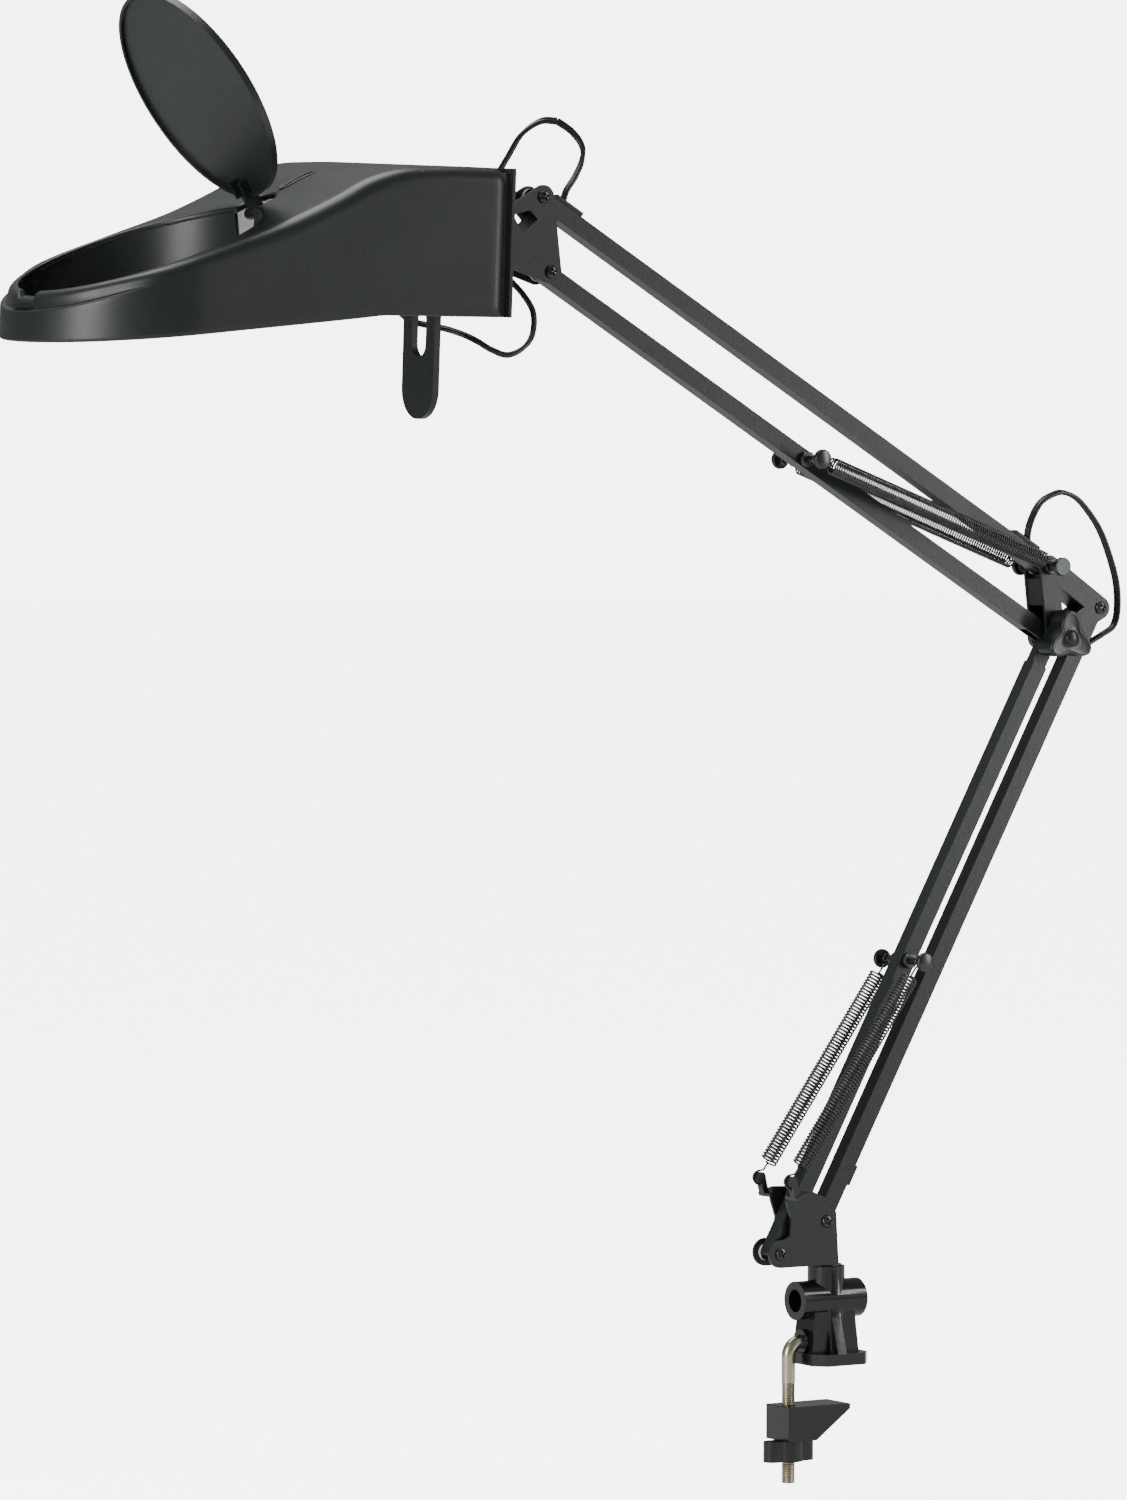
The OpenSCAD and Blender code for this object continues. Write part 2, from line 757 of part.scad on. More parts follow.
module head_stem() {
    color("#2f3436") head_place() translate([0, 0, axis_z]) rotate([0, -90, 0]) {
        translate([0, 0, -2]) cylinder(h = 6, r = 3);
        translate([0, 0, -4.5]) cylinder(h = 4, r = 7, $fn = 6);
        translate([0, 0, 2]) cylinder(h = 3, r = 14);
        translate([0, 0, 4]) cylinder(h = 10, r = 10);
        translate([0, 0, 13]) cylinder(h = 10.6, r = 5);
    }
}

module reflector() {
    color("#f3f2ec") head_place() difference() {
        intersection() {
            head_block(shell_t + 0.3, 0, shell_t + 0.3, 40);
            translate([13, -100, 2]) cube([106, 200, 100]);
        }
        intersection() {
            head_block(shell_t + 1.3, 0, shell_t + 1.3, 60);
            translate([14, -100, -1]) cube([200, 200, 100]);
        }
        translate([hinge_x - 8, -14.5, 40]) cube([30, 29, 50]);
        lens_axis(bore_r + 3, -40, 14);
        lid_well(bore_r + 3.2, 0);
        translate([0, 0, 36]) rotate([0, 90, 0]) cylinder(h = 40, r = 17.6);
        translate([5, -18, -10]) cube([12, 36, 25]);
    }
}

module lens() {
    color([0.85, 0.93, 0.95, 0.35]) head_place() lens_axis(lens_r, -lens_t / 2, lens_t / 2);
}

module lens_ring() {
    color("#1b1f20") head_place() difference() {
        lens_axis(bore_r, -lens_t / 2 - 2.4, -lens_t / 2 - 0.05);
        lens_axis(lens_r - 3, -20, 0);
    }
}

module lampholder() {
    color("#e9e7df") head_place() translate([5.2, 0, 36]) rotate([0, 90, 0]) difference() {
        union() {
            cylinder(h = 33, r = 17);
            translate([0, 0, 4.8]) cylinder(h = 3, r = 20);
        }
        translate([0, 0, 8]) cylinder(h = 60, r = 14);
    }
}

module bulb() {
    color("#f7f6f0") head_place() translate([0, 0, 36]) rotate([0, 90, 0]) {
        translate([0, 0, 14]) cylinder(h = 28, r = 13);
        translate([0, 0, 40]) cylinder(h = 26, r1 = 13, r2 = 20.5);
        translate([0, 0, 78]) sphere(r = 22.5);
    }
}

module handle() {
    color("#2b3133") head_place() translate([8.2, 0, 0]) rotate([90, 0, 90]) linear_extrude(4) difference() {
        union() {
            translate([-17, -42]) square([34, 55]);
            translate([0, -42]) circle(r = 17);
        }
        translate([-7.5, -17]) square([15, 12]);
        translate([0, -17]) circle(r = 7.5);
        translate([0, -5]) circle(r = 7.5);
        for (s = [-1, 1]) translate([s * 9, 8]) circle(r = 1.5);
    }
}

module handle_screws() {
    color("#3a3d3e") head_place() for (s = [-1, 1]) translate([1, s * 9, 8]) rotate([0, 90, 0]) {
        cylinder(h = 12, r = 1.5);
        translate([0, 0, 11.2]) cylinder(h = 2, r = 3);
    }
}

module switch_body() {
    color("#101213") head_place() difference() {
        union() {
            translate([-3.5, -58.5, axis_z - 8.5]) cube([1.5, 17, 23]);
            translate([-3, -57, axis_z - 7]) cube([16, 14, 20]);
        }
        translate([-5, -55.5, axis_z - 5.5]) cube([12, 11, 17]);
        translate([3.5, -56.7, axis_z + 3]) rotate([-90, 0, 0]) cylinder(h = 13.4, r = 1.2 + run);
    }
}

module lid_pin() {
    color("#9a9a92") head_place() translate([hinge_x, -13.5, hinge_z]) rotate([-90, 0, 0]) cylinder(h = 27, r = 1.5);
}

module switch_rocker() {
    color("#191d1e") head_place() difference() {
        union() {
            intersection() {
                translate([-6, -55.3, axis_z - 4.9]) cube([11, 10.6, 15.8]);
                translate([3.5, -50, axis_z + 3]) rotate([90, 0, 0]) cylinder(h = 40, r = 8.3, center = true);
            }
            translate([3.5, -56.6, axis_z + 3]) rotate([-90, 0, 0]) cylinder(h = 13.2, r = 1.2);
        }
        translate([-16.2, -50, axis_z + 3]) rotate([90, 0, 0]) cylinder(h = 40, r = 12, center = true);
    }
}

// The lid lies along its own +x from the hinge, its rim on the side that meets the ring
module lid() {
    reach = 75;
    disc_r = lens_r - 0.6;
    color("#1f2426") head_place() translate([hinge_x, 0, hinge_z]) rotate([0, -lid_open, 0]) difference() {
        union() {
            translate([reach, 0, 0]) cylinder(h = 2.2, r = disc_r);
            translate([reach, 0, -2]) difference() {
                cylinder(h = 3, r = disc_r);
                translate([0, 0, -1]) cylinder(h = 5, r = disc_r - 2);
            }
            translate([2, -7, -1.2]) cube([12, 14, 3.4]);
            translate([0, -9.8, 0]) rotate([-90, 0, 0]) cylinder(h = 19.6, r = 3.4);
            translate([reach + disc_r - 3, -8, 0]) cube([11, 16, 2.2]);
            for (s = [-1, 1]) translate([12, s * 5 - 1, -5]) cube([10, 2, 6]);
        }
        translate([0, -20, 0]) rotate([-90, 0, 0]) cylinder(h = 40, r = 1.5 + run);
    }
}

clamp_body();
hook_rod();
swivel_bush();
clamp_jaw();
clamp_knob();
knob_nut();
base_bracket();
swivel_spindle();
base_screws();
base_nuts();
base_washers();
lower_front_bar();
lower_spring_post();
lower_rear_bar();
flex_grommet();
lower_flex();
lower_springs();
lower_spring_eyes();
elbow_bracket();
elbow_bolts();
elbow_nut();
elbow_washers();
spring_pin();
elbow_steel_washer();
elbow_knob();
elbow_flex_loop();
upper_top_bar();
flex_clips();
upper_flex();
upper_lower_bar();
upper_spring_post();
upper_springs();
upper_spring_eyes();
head_bracket_near();
head_bracket_far();
head_screws();
head_nuts();
head_washers();
tilt_bolt();
tilt_knob();
head_flex_upper();
knuckle();
head_flex_middle();
shade();
back_cover();
head_stem();
reflector();
lens();
lens_ring();
lampholder();
bulb();
handle();
handle_screws();
switch_body();
head_flex_lower();
lid_pin();
switch_rocker();
lid();
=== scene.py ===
import json
import math

import bmesh
import bpy
import numpy as np
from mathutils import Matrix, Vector


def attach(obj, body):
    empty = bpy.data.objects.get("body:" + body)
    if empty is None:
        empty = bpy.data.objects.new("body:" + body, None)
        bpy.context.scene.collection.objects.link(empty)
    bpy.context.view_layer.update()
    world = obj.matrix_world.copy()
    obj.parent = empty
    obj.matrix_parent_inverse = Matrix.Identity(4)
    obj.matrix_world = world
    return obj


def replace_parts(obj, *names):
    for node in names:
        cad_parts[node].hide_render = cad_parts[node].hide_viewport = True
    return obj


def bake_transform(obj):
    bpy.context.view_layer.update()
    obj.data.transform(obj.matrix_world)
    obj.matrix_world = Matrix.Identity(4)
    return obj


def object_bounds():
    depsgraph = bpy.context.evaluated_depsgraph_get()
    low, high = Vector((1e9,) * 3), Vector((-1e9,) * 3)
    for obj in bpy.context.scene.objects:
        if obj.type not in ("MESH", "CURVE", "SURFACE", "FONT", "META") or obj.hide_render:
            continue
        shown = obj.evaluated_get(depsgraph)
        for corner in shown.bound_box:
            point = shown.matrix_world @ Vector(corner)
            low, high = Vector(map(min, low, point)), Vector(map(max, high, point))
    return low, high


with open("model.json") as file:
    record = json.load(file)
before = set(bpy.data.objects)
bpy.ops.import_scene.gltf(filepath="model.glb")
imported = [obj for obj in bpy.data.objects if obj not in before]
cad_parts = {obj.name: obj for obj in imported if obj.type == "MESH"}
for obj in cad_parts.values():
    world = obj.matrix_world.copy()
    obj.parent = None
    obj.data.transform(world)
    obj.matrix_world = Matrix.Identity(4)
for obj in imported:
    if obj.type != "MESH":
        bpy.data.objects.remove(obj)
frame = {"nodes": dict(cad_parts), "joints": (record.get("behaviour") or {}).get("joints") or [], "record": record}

cad_low, cad_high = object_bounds()
joints = {joint["name"]: joint for joint in frame["joints"]}
body_of_node = {n: b for b, nodes in frame["record"]["behaviour"]["bodies"].items() for n in nodes}

# The eye stands level with the upper arm, in front and to one side of the lamp, with a long
# lens. It aims at the arm's middle plane, between the head and the elbow.
eye_turn = math.radians(-31.86)
eye_rise = math.radians(1.88)
eye_distance = 3.9526
aim = Vector((-0.1778, 0.0, 0.3554))
back = Vector((math.sin(eye_turn) * math.cos(eye_rise), -math.cos(eye_turn) * math.cos(eye_rise),
    math.sin(eye_rise)))
camera_data = bpy.data.cameras.new("camera")
camera_data.lens = 169.26
camera_data.sensor_width = 36
camera_data.clip_end = 80
camera = bpy.data.objects.new("camera", camera_data)
camera.location = aim + back * eye_distance
camera.rotation_euler = (-back).to_track_quat("-Z", "Y").to_euler()
bpy.context.collection.objects.link(camera)
bpy.context.scene.camera = camera

# A white studio: a bright even sky behind, a pale floor just below the clamp, and soft panels.
# The sky lights the lamp less than it shows, as a lit backdrop does, so black parts stay black.
world = bpy.data.worlds.new("studio")
world.use_nodes = True
sky_nodes, sky_links = world.node_tree.nodes, world.node_tree.links
sky_light = sky_nodes["Background"]
sky_light.inputs["Color"].default_value = (0.95, 1.0, 1.0, 1)
sky_light.inputs["Strength"].default_value = 0.25
backdrop = sky_nodes.new("ShaderNodeBackground")
backdrop.inputs["Color"].default_value = (1, 1, 1, 1)
backdrop.inputs["Strength"].default_value = 6.0
seen = sky_nodes.new("ShaderNodeLightPath")
either = sky_nodes.new("ShaderNodeMixShader")
sky_links.new(seen.outputs["Is Camera Ray"], either.inputs[0])
sky_links.new(sky_light.outputs["Background"], either.inputs[1])
sky_links.new(backdrop.outputs["Background"], either.inputs[2])
sky_links.new(either.outputs["Shader"], sky_nodes["World Output"].inputs["Surface"])
bpy.context.scene.world = world

floor_paint = bpy.data.materials.new("pale_floor")
floor_paint.use_nodes = True
floor_skin = floor_paint.node_tree.nodes["Principled BSDF"]
floor_skin.inputs["Base Color"].default_value = (0.9, 0.9, 0.9, 1)
floor_skin.inputs["Roughness"].default_value = 0.9
floor_skin.inputs["Emission Color"].default_value = (1, 1, 1, 1)
floor_seen = floor_paint.node_tree.nodes.new("ShaderNodeLightPath")
floor_glow = floor_paint.node_tree.nodes.new("ShaderNodeMath")
floor_glow.operation = "MULTIPLY"
floor_glow.inputs[1].default_value = 5.4
floor_paint.node_tree.links.new(floor_seen.outputs["Is Camera Ray"], floor_glow.inputs[0])
floor_paint.node_tree.links.new(floor_glow.outputs["Value"], floor_skin.inputs["Emission Strength"])
floor_size = 40
floor_z = cad_low.z - 0.004
floor_mesh = bpy.data.meshes.new("floor")
floor_mesh.from_pydata(
    [(-floor_size, -floor_size, floor_z), (floor_size, -floor_size, floor_z),
     (floor_size, floor_size, floor_z), (-floor_size, floor_size, floor_z)], [], [(0, 1, 2, 3)])
floor_mesh.materials.append(floor_paint)
floor = bpy.data.objects.new("floor", floor_mesh)
bpy.context.collection.objects.link(floor)


def soft_panel(name, place, target, width, height, power):
    """A rectangular area light at place, turned to face target."""
    light = bpy.data.lights.new(name, "AREA")
    light.shape = "RECTANGLE"
    light.size = width
    light.size_y = height
    light.energy = power
    panel = bpy.data.objects.new(name, light)
    panel.location = place
    panel.rotation_euler = (Vector(target) - Vector(place)).to_track_quat("-Z", "Y").to_euler()
    bpy.context.collection.objects.link(panel)


soft_panel("front_left_panel", (-2.6, -0.7, 0.9), (-0.45, 0.0, 0.62), 0.9, 1.6, 55)
soft_panel("top_panel", (-0.3, 0.5, 2.3), (-0.1, 0.0, 0.4), 1.3, 1.3, 34)
soft_panel("right_panel", (1.7, -1.7, 1.0), (0.0, 0.0, 0.45), 0.35, 1.8, 26)


# The clamp body: one glossy black moulding with a chamfered foot, a ribbed block, an upright socket
# for the arm and a cross barrel with a blind bore at each end. Its moulded edges are slightly round.
def grain_group():
    """Node group: coordinates, grain size and depth in; a bumped normal and a slow 0 to 1 mask out."""
    group = bpy.data.node_groups.new("moulded_grain", "ShaderNodeTree")
    for name, kind in (("Coordinates", "Vector"), ("Grain scale", "Float"), ("Grain depth", "Float"),
        ("Mask scale", "Float")):
        group.interface.new_socket(name, in_out="INPUT", socket_type="NodeSocket" + kind)
    group.interface.new_socket("Normal", in_out="OUTPUT", socket_type="NodeSocketVector")
    group.interface.new_socket("Mask", in_out="OUTPUT", socket_type="NodeSocketFloat")
    nodes, links = group.nodes, group.links
    come, go = nodes.new("NodeGroupInput"), nodes.new("NodeGroupOutput")
    fine, slow = nodes.new("ShaderNodeTexNoise"), nodes.new("ShaderNodeTexNoise")
    fine.inputs["Detail"].default_value = 3
    slow.inputs["Detail"].default_value = 4
    bump = nodes.new("ShaderNodeBump")
    bump.inputs["Distance"].default_value = 0.00012
    links.new(come.outputs["Coordinates"], fine.inputs["Vector"])
    links.new(come.outputs["Grain scale"], fine.inputs["Scale"])
    links.new(come.outputs["Coordinates"], slow.inputs["Vector"])
    links.new(come.outputs["Mask scale"], slow.inputs["Scale"])
    links.new(fine.outputs["Fac"], bump.inputs["Height"])
    links.new(come.outputs["Grain depth"], bump.inputs["Strength"])
    links.new(bump.outputs["Normal"], go.inputs["Normal"])
    links.new(slow.outputs["Fac"], go.inputs["Mask"])
    return group


moulded_grain = grain_group()


def finish(name, dark, light, rough, metallic=0.0, grain=900, depth=0.3, patches=25, coat=0.0,
    shine=0.5):
    """A Principled finish. Its colour runs from dark to light, and its roughness from rough[0] to
    rough[1], with the slow mask of the grain group, whose fine grain bumps the surface."""
    material = bpy.data.materials.new(name)
    material.use_nodes = True
    nodes, links = material.node_tree.nodes, material.node_tree.links
    skin = nodes["Principled BSDF"]
    place = nodes.new("ShaderNodeTexCoord")
    effect = nodes.new("ShaderNodeGroup")
    effect.node_tree = moulded_grain
    effect.inputs["Grain scale"].default_value = grain
    effect.inputs["Grain depth"].default_value = depth
    effect.inputs["Mask scale"].default_value = patches
    links.new(place.outputs["Object"], effect.inputs["Coordinates"])
    colour = nodes.new("ShaderNodeMix")
    colour.data_type = "RGBA"
    colour.inputs["A"].default_value = (*dark, 1)
    colour.inputs["B"].default_value = (*light, 1)
    gloss = nodes.new("ShaderNodeMapRange")
    gloss.inputs["To Min"].default_value = rough[0]
    gloss.inputs["To Max"].default_value = rough[1]
    links.new(effect.outputs["Mask"], colour.inputs["Factor"])
    links.new(effect.outputs["Mask"], gloss.inputs["Value"])
    links.new(colour.outputs["Result"], skin.inputs["Base Color"])
    links.new(gloss.outputs["Result"], skin.inputs["Roughness"])
    links.new(effect.outputs["Normal"], skin.inputs["Normal"])
    skin.inputs["Metallic"].default_value = metallic
    skin.inputs["Coat Weight"].default_value = coat
    skin.inputs["Coat Roughness"].default_value = 0.12
    skin.inputs["Specular IOR Level"].default_value = shine
    return material


def eased(node, radius, material, angle=28):
    """A copy of a CAD node, welded, with its edges rounded to radius (mm), in place of the node."""
    mesh = frame["nodes"][node].data.copy()
    shape = bmesh.new()
    shape.from_mesh(mesh)
    bmesh.ops.remove_doubles(shape, verts=shape.verts, dist=2e-6)
    bmesh.ops.dissolve_limit(shape, angle_limit=math.radians(0.8), verts=shape.verts, edges=shape.edges)
    shape.to_mesh(mesh)
    shape.free()
    mesh.materials.clear()
    mesh.materials.append(material)
    mesh.shade_smooth()
    obj = bpy.data.objects.new(node + "_eased", mesh)
    bpy.context.collection.objects.link(obj)
    edge = obj.modifiers.new("edges", "BEVEL")
    edge.width = radius / 1000
    edge.segments = 2
    edge.limit_method = "ANGLE"
    edge.angle_limit = math.radians(angle)
    evened = obj.modifiers.new("evened", "WEIGHTED_NORMAL")
    evened.keep_sharp = True
    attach(obj, body_of_node[node])
    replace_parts(obj, node)
    return obj


gloss_black = finish("gloss_black_moulding", (0.005, 0.006, 0.006), (0.009, 0.011, 0.011), (0.12, 0.24),
                     grain=260, depth=0.25, patches=40)
eased("clamp_body", 0.9, gloss_black)
black_nylon = finish("black_nylon", (0.005, 0.0055, 0.0055), (0.009, 0.010, 0.010), (0.4, 0.55))
eased("swivel_bush", 0.2, black_nylon)

# The hook rod: 8 mm steel, bent over into the clamp, threaded below for the jaw. Its zinc plate has
# gone straw yellow, brighter on the crests of the thread.
zinc = finish("straw_zinc", (0.42, 0.37, 0.27), (0.62, 0.56, 0.43), (0.22, 0.38), metallic=1.0,
    grain=700, depth=0.15)


def piece(name, points, faces, body, material, sharp=35):
    """A mesh object at the origin from arrays of points (metres) and faces, riding on a body."""
    mesh = bpy.data.meshes.new(name)
    mesh.from_pydata(np.asarray(points).reshape(-1, 3).tolist(), [], np.asarray(faces).tolist())
    mesh.shade_smooth()
    mesh.materials.append(material)
    obj = bpy.data.objects.new(name, mesh)
    bpy.context.collection.objects.link(obj)
    welded(obj)
    mesh.set_sharp_from_angle(angle=math.radians(sharp))
    if body:
        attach(obj, body)
    return obj


def welded(obj):
    """Closes seams and poles, and turns every closed shell's faces outwards."""
    shape = bmesh.new()
    shape.from_mesh(obj.data)
    bmesh.ops.remove_doubles(shape, verts=shape.verts, dist=2e-6)
    bmesh.ops.dissolve_degenerate(shape, edges=shape.edges, dist=1e-7)
    bmesh.ops.recalc_face_normals(shape, faces=shape.faces)
    shape.to_mesh(obj.data)
    shape.free()


def grid_faces(rows, cols, wrap=False):
    """Quads between neighbouring points of a grid stored row by row; wrap joins the last column to the
    first."""
    i = np.arange(rows - 1)[:, None]
    j = np.arange(cols if wrap else cols - 1)[None, :]
    k = (j + 1) % cols
    return np.stack([i * cols + j, i * cols + k, (i + 1) * cols + k, (i + 1) * cols + j],
        axis=-1).reshape(-1, 4)


def along(path, side):
    """Unit tangents of a path, and two directions square to it: one as near as can be to side, one to
    both."""
    t = np.gradient(path, axis=0)
    t /= np.linalg.norm(t, axis=1)[:, None]
    b = side - np.sum(side * t, axis=1)[:, None] * t
    b /= np.linalg.norm(b, axis=1)[:, None]
    return t, b, np.cross(t, b)


def swept(path, side, a, b):
    """Carries a closed profile along a path: a and b are its offsets along the side direction and square
    to it, one row for all stations or one row each. The ends close on their middle points. In mm."""
    path, side = np.asarray(path, float), np.broadcast_to(np.asarray(side, float), np.shape(path))
    t, u, v = along(path, side)
    a, b = np.broadcast_to(a, (len(path), np.shape(a)[-1])), np.broadcast_to(b,
        (len(path), np.shape(b)[-1]))
    body = path[:, None] + a[..., None] * u[:, None] + b[..., None] * v[:, None]
    first = np.broadcast_to(path[0], (1,) + body.shape[1:])
    last = np.broadcast_to(path[-1], (1,) + body.shape[1:])
    grid = np.concatenate([first, body, last]) / 1000
    return grid.reshape(-1, 3), grid_faces(len(grid), grid.shape[1], wrap=True)


def rod_path():
    """Down the thread from the clamp: along X, a quarter turn of radius 8, then straight down, 0.16 mm a
    step."""
    bend = np.radians(np.linspace(90, 180, 26))
    level = np.stack([np.linspace(-7.5, -17.5, 8), np.zeros(8), np.full(8, 13.0)], axis=1)
    turn = np.stack([-18 + 8 * np.cos(bend), np.zeros(26), 5 + 8 * np.sin(bend)], axis=1)
    z = np.arange(4.8, -68, -0.156)
    return np.concatenate([level, turn, np.stack([np.full(len(z), -26.0), 0 * z, z], axis=1)])


rod = rod_path()
rod_turn = np.linspace(0, 2 * np.pi, 28, endpoint=False)
thread = np.clip((-9 - rod[:, 2]) / 2, 0, 1)[:, None]
groove = np.abs(((rod[:, 2:3] / 1.25 - rod_turn / (2 * np.pi)) % 1) - 0.5) * 2
rod_radius = 3.95 - 0.55 * thread * groove
rod_radius[-1] = 3.3
points, faces = swept(rod, (0, 1, 0), rod_radius * np.cos(rod_turn), rod_radius * np.sin(rod_turn))
hook_rod = piece("hook_rod_threaded", points, faces, "clamp", zinc, sharp=50)
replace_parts(hook_rod, "hook_rod")

# The jaw is a black wedge cast to grip from below; the wing knob with its pressed-in hexagon nut runs
# up the rod and lifts it.
eased("clamp_jaw", 1.3, gloss_black)
satin_knob = finish("satin_knob", (0.006, 0.0075, 0.0075), (0.010, 0.012, 0.012), (0.24, 0.36),
    grain=1200, depth=0.2)
eased("clamp_knob", 1.6, satin_knob)
eased("knob_nut", 0.3, zinc)

# The base bracket: 2 mm steel bent up round the two lower bars, powder coated satin black, with a
# pressed hook each side for the springs. It turns on a plain steel spindle.
arm_paint = finish("arm_powder_coat", (0.006, 0.0078, 0.008), (0.0105, 0.013, 0.013), (0.30, 0.42),
    grain=1100, depth=0.55, patches=18)
bright_zinc = finish("bright_zinc", (0.50, 0.51, 0.50), (0.66, 0.67, 0.65), (0.25, 0.4), metallic=1.0)
pale_nylon = finish("pale_nylon", (0.50, 0.48, 0.42), (0.62, 0.60, 0.54), (0.4, 0.55))
eased("base_bracket", 0.45, arm_paint)
eased("swivel_spindle", 0.3, bright_zinc)
eased("base_washers", 0.2, pale_nylon)

# The pivot screws: blackened M4 pan heads with a cross recess, their edges rubbed bright by the
# driver, and a hexagon nut on the far side.
black_steel = finish("black_steel", (0.035, 0.037, 0.038), (0.10, 0.105, 0.105), (0.22, 0.36),
    metallic=0.9, grain=500, depth=0.2, patches=160)


def turned(profile, spin=0.0, dent=None, count=64):
    """A shape of revolution about Y: profile lists (radius, y) from one pole to the other. dent(x, z, y, r)
    gives a new y for each point. Returns the points and faces round the origin, in mm."""
    profile = np.asarray(profile, float)
    a = np.linspace(0, 2 * np.pi, count, endpoint=False) + spin
    r, y = profile[:, :1] + 0 * a, profile[:, 1:] + 0 * a
    x, z = r * np.cos(a), r * np.sin(a)
    if dent:
        y = dent(x, z, y, r)
    return np.stack([x, y, z], axis=-1), grid_faces(len(profile), count, wrap=True)


def cross_recess(x, z, y, r):
    """Sinks a cross 1.2 mm deep, its arms 1.1 wide and 4.4 long, into the domed top of a screw head."""
    turn = math.radians(20)
    u, v = np.abs(x * math.cos(turn) + z * math.sin(turn)), np.abs(z * math.cos(turn) - x * math.sin(turn))
    arm = np.clip((0.62 - np.minimum(u, v)) / 0.22, 0, 1) * np.clip((2.35 - np.maximum(u, v)) / 0.4, 0,
        1)
    return y + 1.15 * arm * (y < -9.6)


def at_places(places, points, faces):
    """Repeats a shape at each (x, z) place."""
    moves = np.array([(x, 0, z) for x, z in places], float)
    n = points.reshape(-1, 3)
    return (n[None] + moves[:,
        None]) / 1000, np.concatenate([faces + i * len(n) for i in range(len(moves))])


def place_of(joint):
    """The (x, z) of a joint's pin, in mm."""
    return joints[joint]["pos_m"][0] * 1000, joints[joint]["pos_m"][2] * 1000


head_r = np.linspace(0, 3.2, 34)
screw_profile = ([(r, -11 + 0.9 * (r / 3.65) ** 2.4) for r in head_r]
                 + [(3.5, -10.0), (3.62, -9.7), (3.65, -9.0), (2.0, -9.0), (2.0, 12.0), (1.6, 12.4),
                     (0, 12.4)])


def pan_screws(node, names, extra=()):
    """The screws of one node, at the pins of the named joints."""
    points, faces = turned(screw_profile, dent=cross_recess, count=96)
    points, faces = at_places([place_of(n) for n in names] + list(extra), points, faces)
    screws = piece(node + "_cross_headed", points, faces, body_of_node[node], black_steel,
        sharp=30)
    return screws


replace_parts(pan_screws("base_screws", ["front_bar_pivot", "shoulder"]), "base_screws")
eased("base_nuts", 0.3, black_steel)

# The lower bars: 10 mm square tube. The front one carries the spring post, a turned pin with a grooved
# cap each side, and ends in a tongue on the knob's bolt. The flex leaves the rear one by a grommet.
eased("lower_front_bar", 0.8, arm_paint)
eased("lower_rear_bar", 0.8, arm_paint)
eased("flex_grommet", 0.3, black_nylon)
post_half = [(0, 23.5), (4.6, 23.5), (5.2, 23.2), (5.5, 22.7), (5.5, 22.4), (5.0, 22.1), (5.0, 21.8),
    (5.5, 21.5),
             (5.5, 20.9), (5.1, 20.5), (2.0, 20.4), (2.0, 8.2), (4.2, 8.1), (4.4, 7.8), (4.4, 5.2),
             (2.0, 5.1)]
post_profile = post_half + [(r, -y) for r, y in post_half[::-1]]


def spring_post(node, place):
    """The turned spring post of one node, at an (x, z) place."""
    points, faces = at_places([place], *turned(post_profile, count=48))
    post = piece(node + "_turned", points, faces, body_of_node[node], black_steel,
        sharp=40)
    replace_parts(post, node)


lower_axis = np.array(joints["lower_spring_stretch"]["axis"])
upper_axis = np.array(joints["upper_spring_stretch"]["axis"])
lower_spring_length, upper_spring_length = 151.66, 179.68
hook = np.array(joints["lower_spring_swing"]["pos_m"]) * 1000
spring_top = np.array(joints["upper_spring_swing"]["pos_m"]) * 1000
lower_post = hook + lower_axis * lower_spring_length
upper_post = spring_top + upper_axis * upper_spring_length
spring_post("lower_spring_post", (lower_post[0], lower_post[2]))

# The balance springs: close-wound steel wire, one each side of the arm, each hooked over a pin at both
# ends. They hang outside the bars and stretch along their own line.
spring_wire = finish("spring_wire", (0.03, 0.032, 0.032), (0.09, 0.093, 0.09), (0.2, 0.34),
    metallic=0.6, grain=400, depth=0.1, patches=90)


def coil_path(start, end, side, turns, coil_r, lead, eye0, eye1):
    """Centre line of one spring: most of a turn round the first pin, straight to the coil's line, a helix
    whose radius opens and closes over half a turn, and a turn round the second pin. Everything at y =
    side."""
    axis = (end - start) / np.linalg.norm(end - start)
    across = np.cross(axis, (0, 1, 0))
    up = np.array([0.0, 1.0, 0.0])
    base = start + up * side
    length = np.linalg.norm(end - start)
    wrap = np.radians(np.linspace(-160, 150, 26))
    first = base - axis * (eye0 * np.cos(wrap))[:, None] + across * (eye0 * np.sin(wrap))[:, None]
    count = turns * 20
    s = np.linspace(0, 1, count)
    angle = 2 * np.pi * turns * s
    open_up = np.clip(np.minimum(s, 1 - s) * turns / 0.6, 0, 1)
    open_up = coil_r * open_up * open_up * (3 - 2 * open_up)
    line = lead + (length - 2 * lead) * s
    coil = base + axis * line[:, None] + across * (open_up * np.cos(angle))[:,
        None] + up * (open_up * np.sin(angle))[:, None]
    second = base + axis * (length + eye1 * np.cos(wrap))[:, None] + across * (eye1 * np.sin(wrap))[:,
        None]
    return np.concatenate([first, base + axis * np.array([[eye0 + 1.6], [lead - 1.2]]), coil,
                           base + axis * np.array([[length - lead + 1.2], [length - eye1 - 1.6]]),
                           second])


def coil_springs(name, nodes, start, end, turns, coil_r, wire, eye0, eye1):
    """Both springs of one arm as one piece, drawn between its two end pins and riding on no body."""
    section = np.linspace(0, 2 * np.pi, 7, endpoint=False)
    parts = [swept(coil_path(start, end, side, turns, coil_r, 10, eye0, eye1), (0.3, 0.8, 0.52),
                   wire * np.cos(section), wire * np.sin(section)) for side in (-16.2, 16.2)]
    points = np.concatenate([p for p, f in parts])
    faces = np.concatenate([parts[0][1], parts[1][1] + len(parts[0][0])])
    springs = piece(name, points, faces, None, spring_wire, sharp=70)
    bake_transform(springs)
    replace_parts(springs, *nodes)


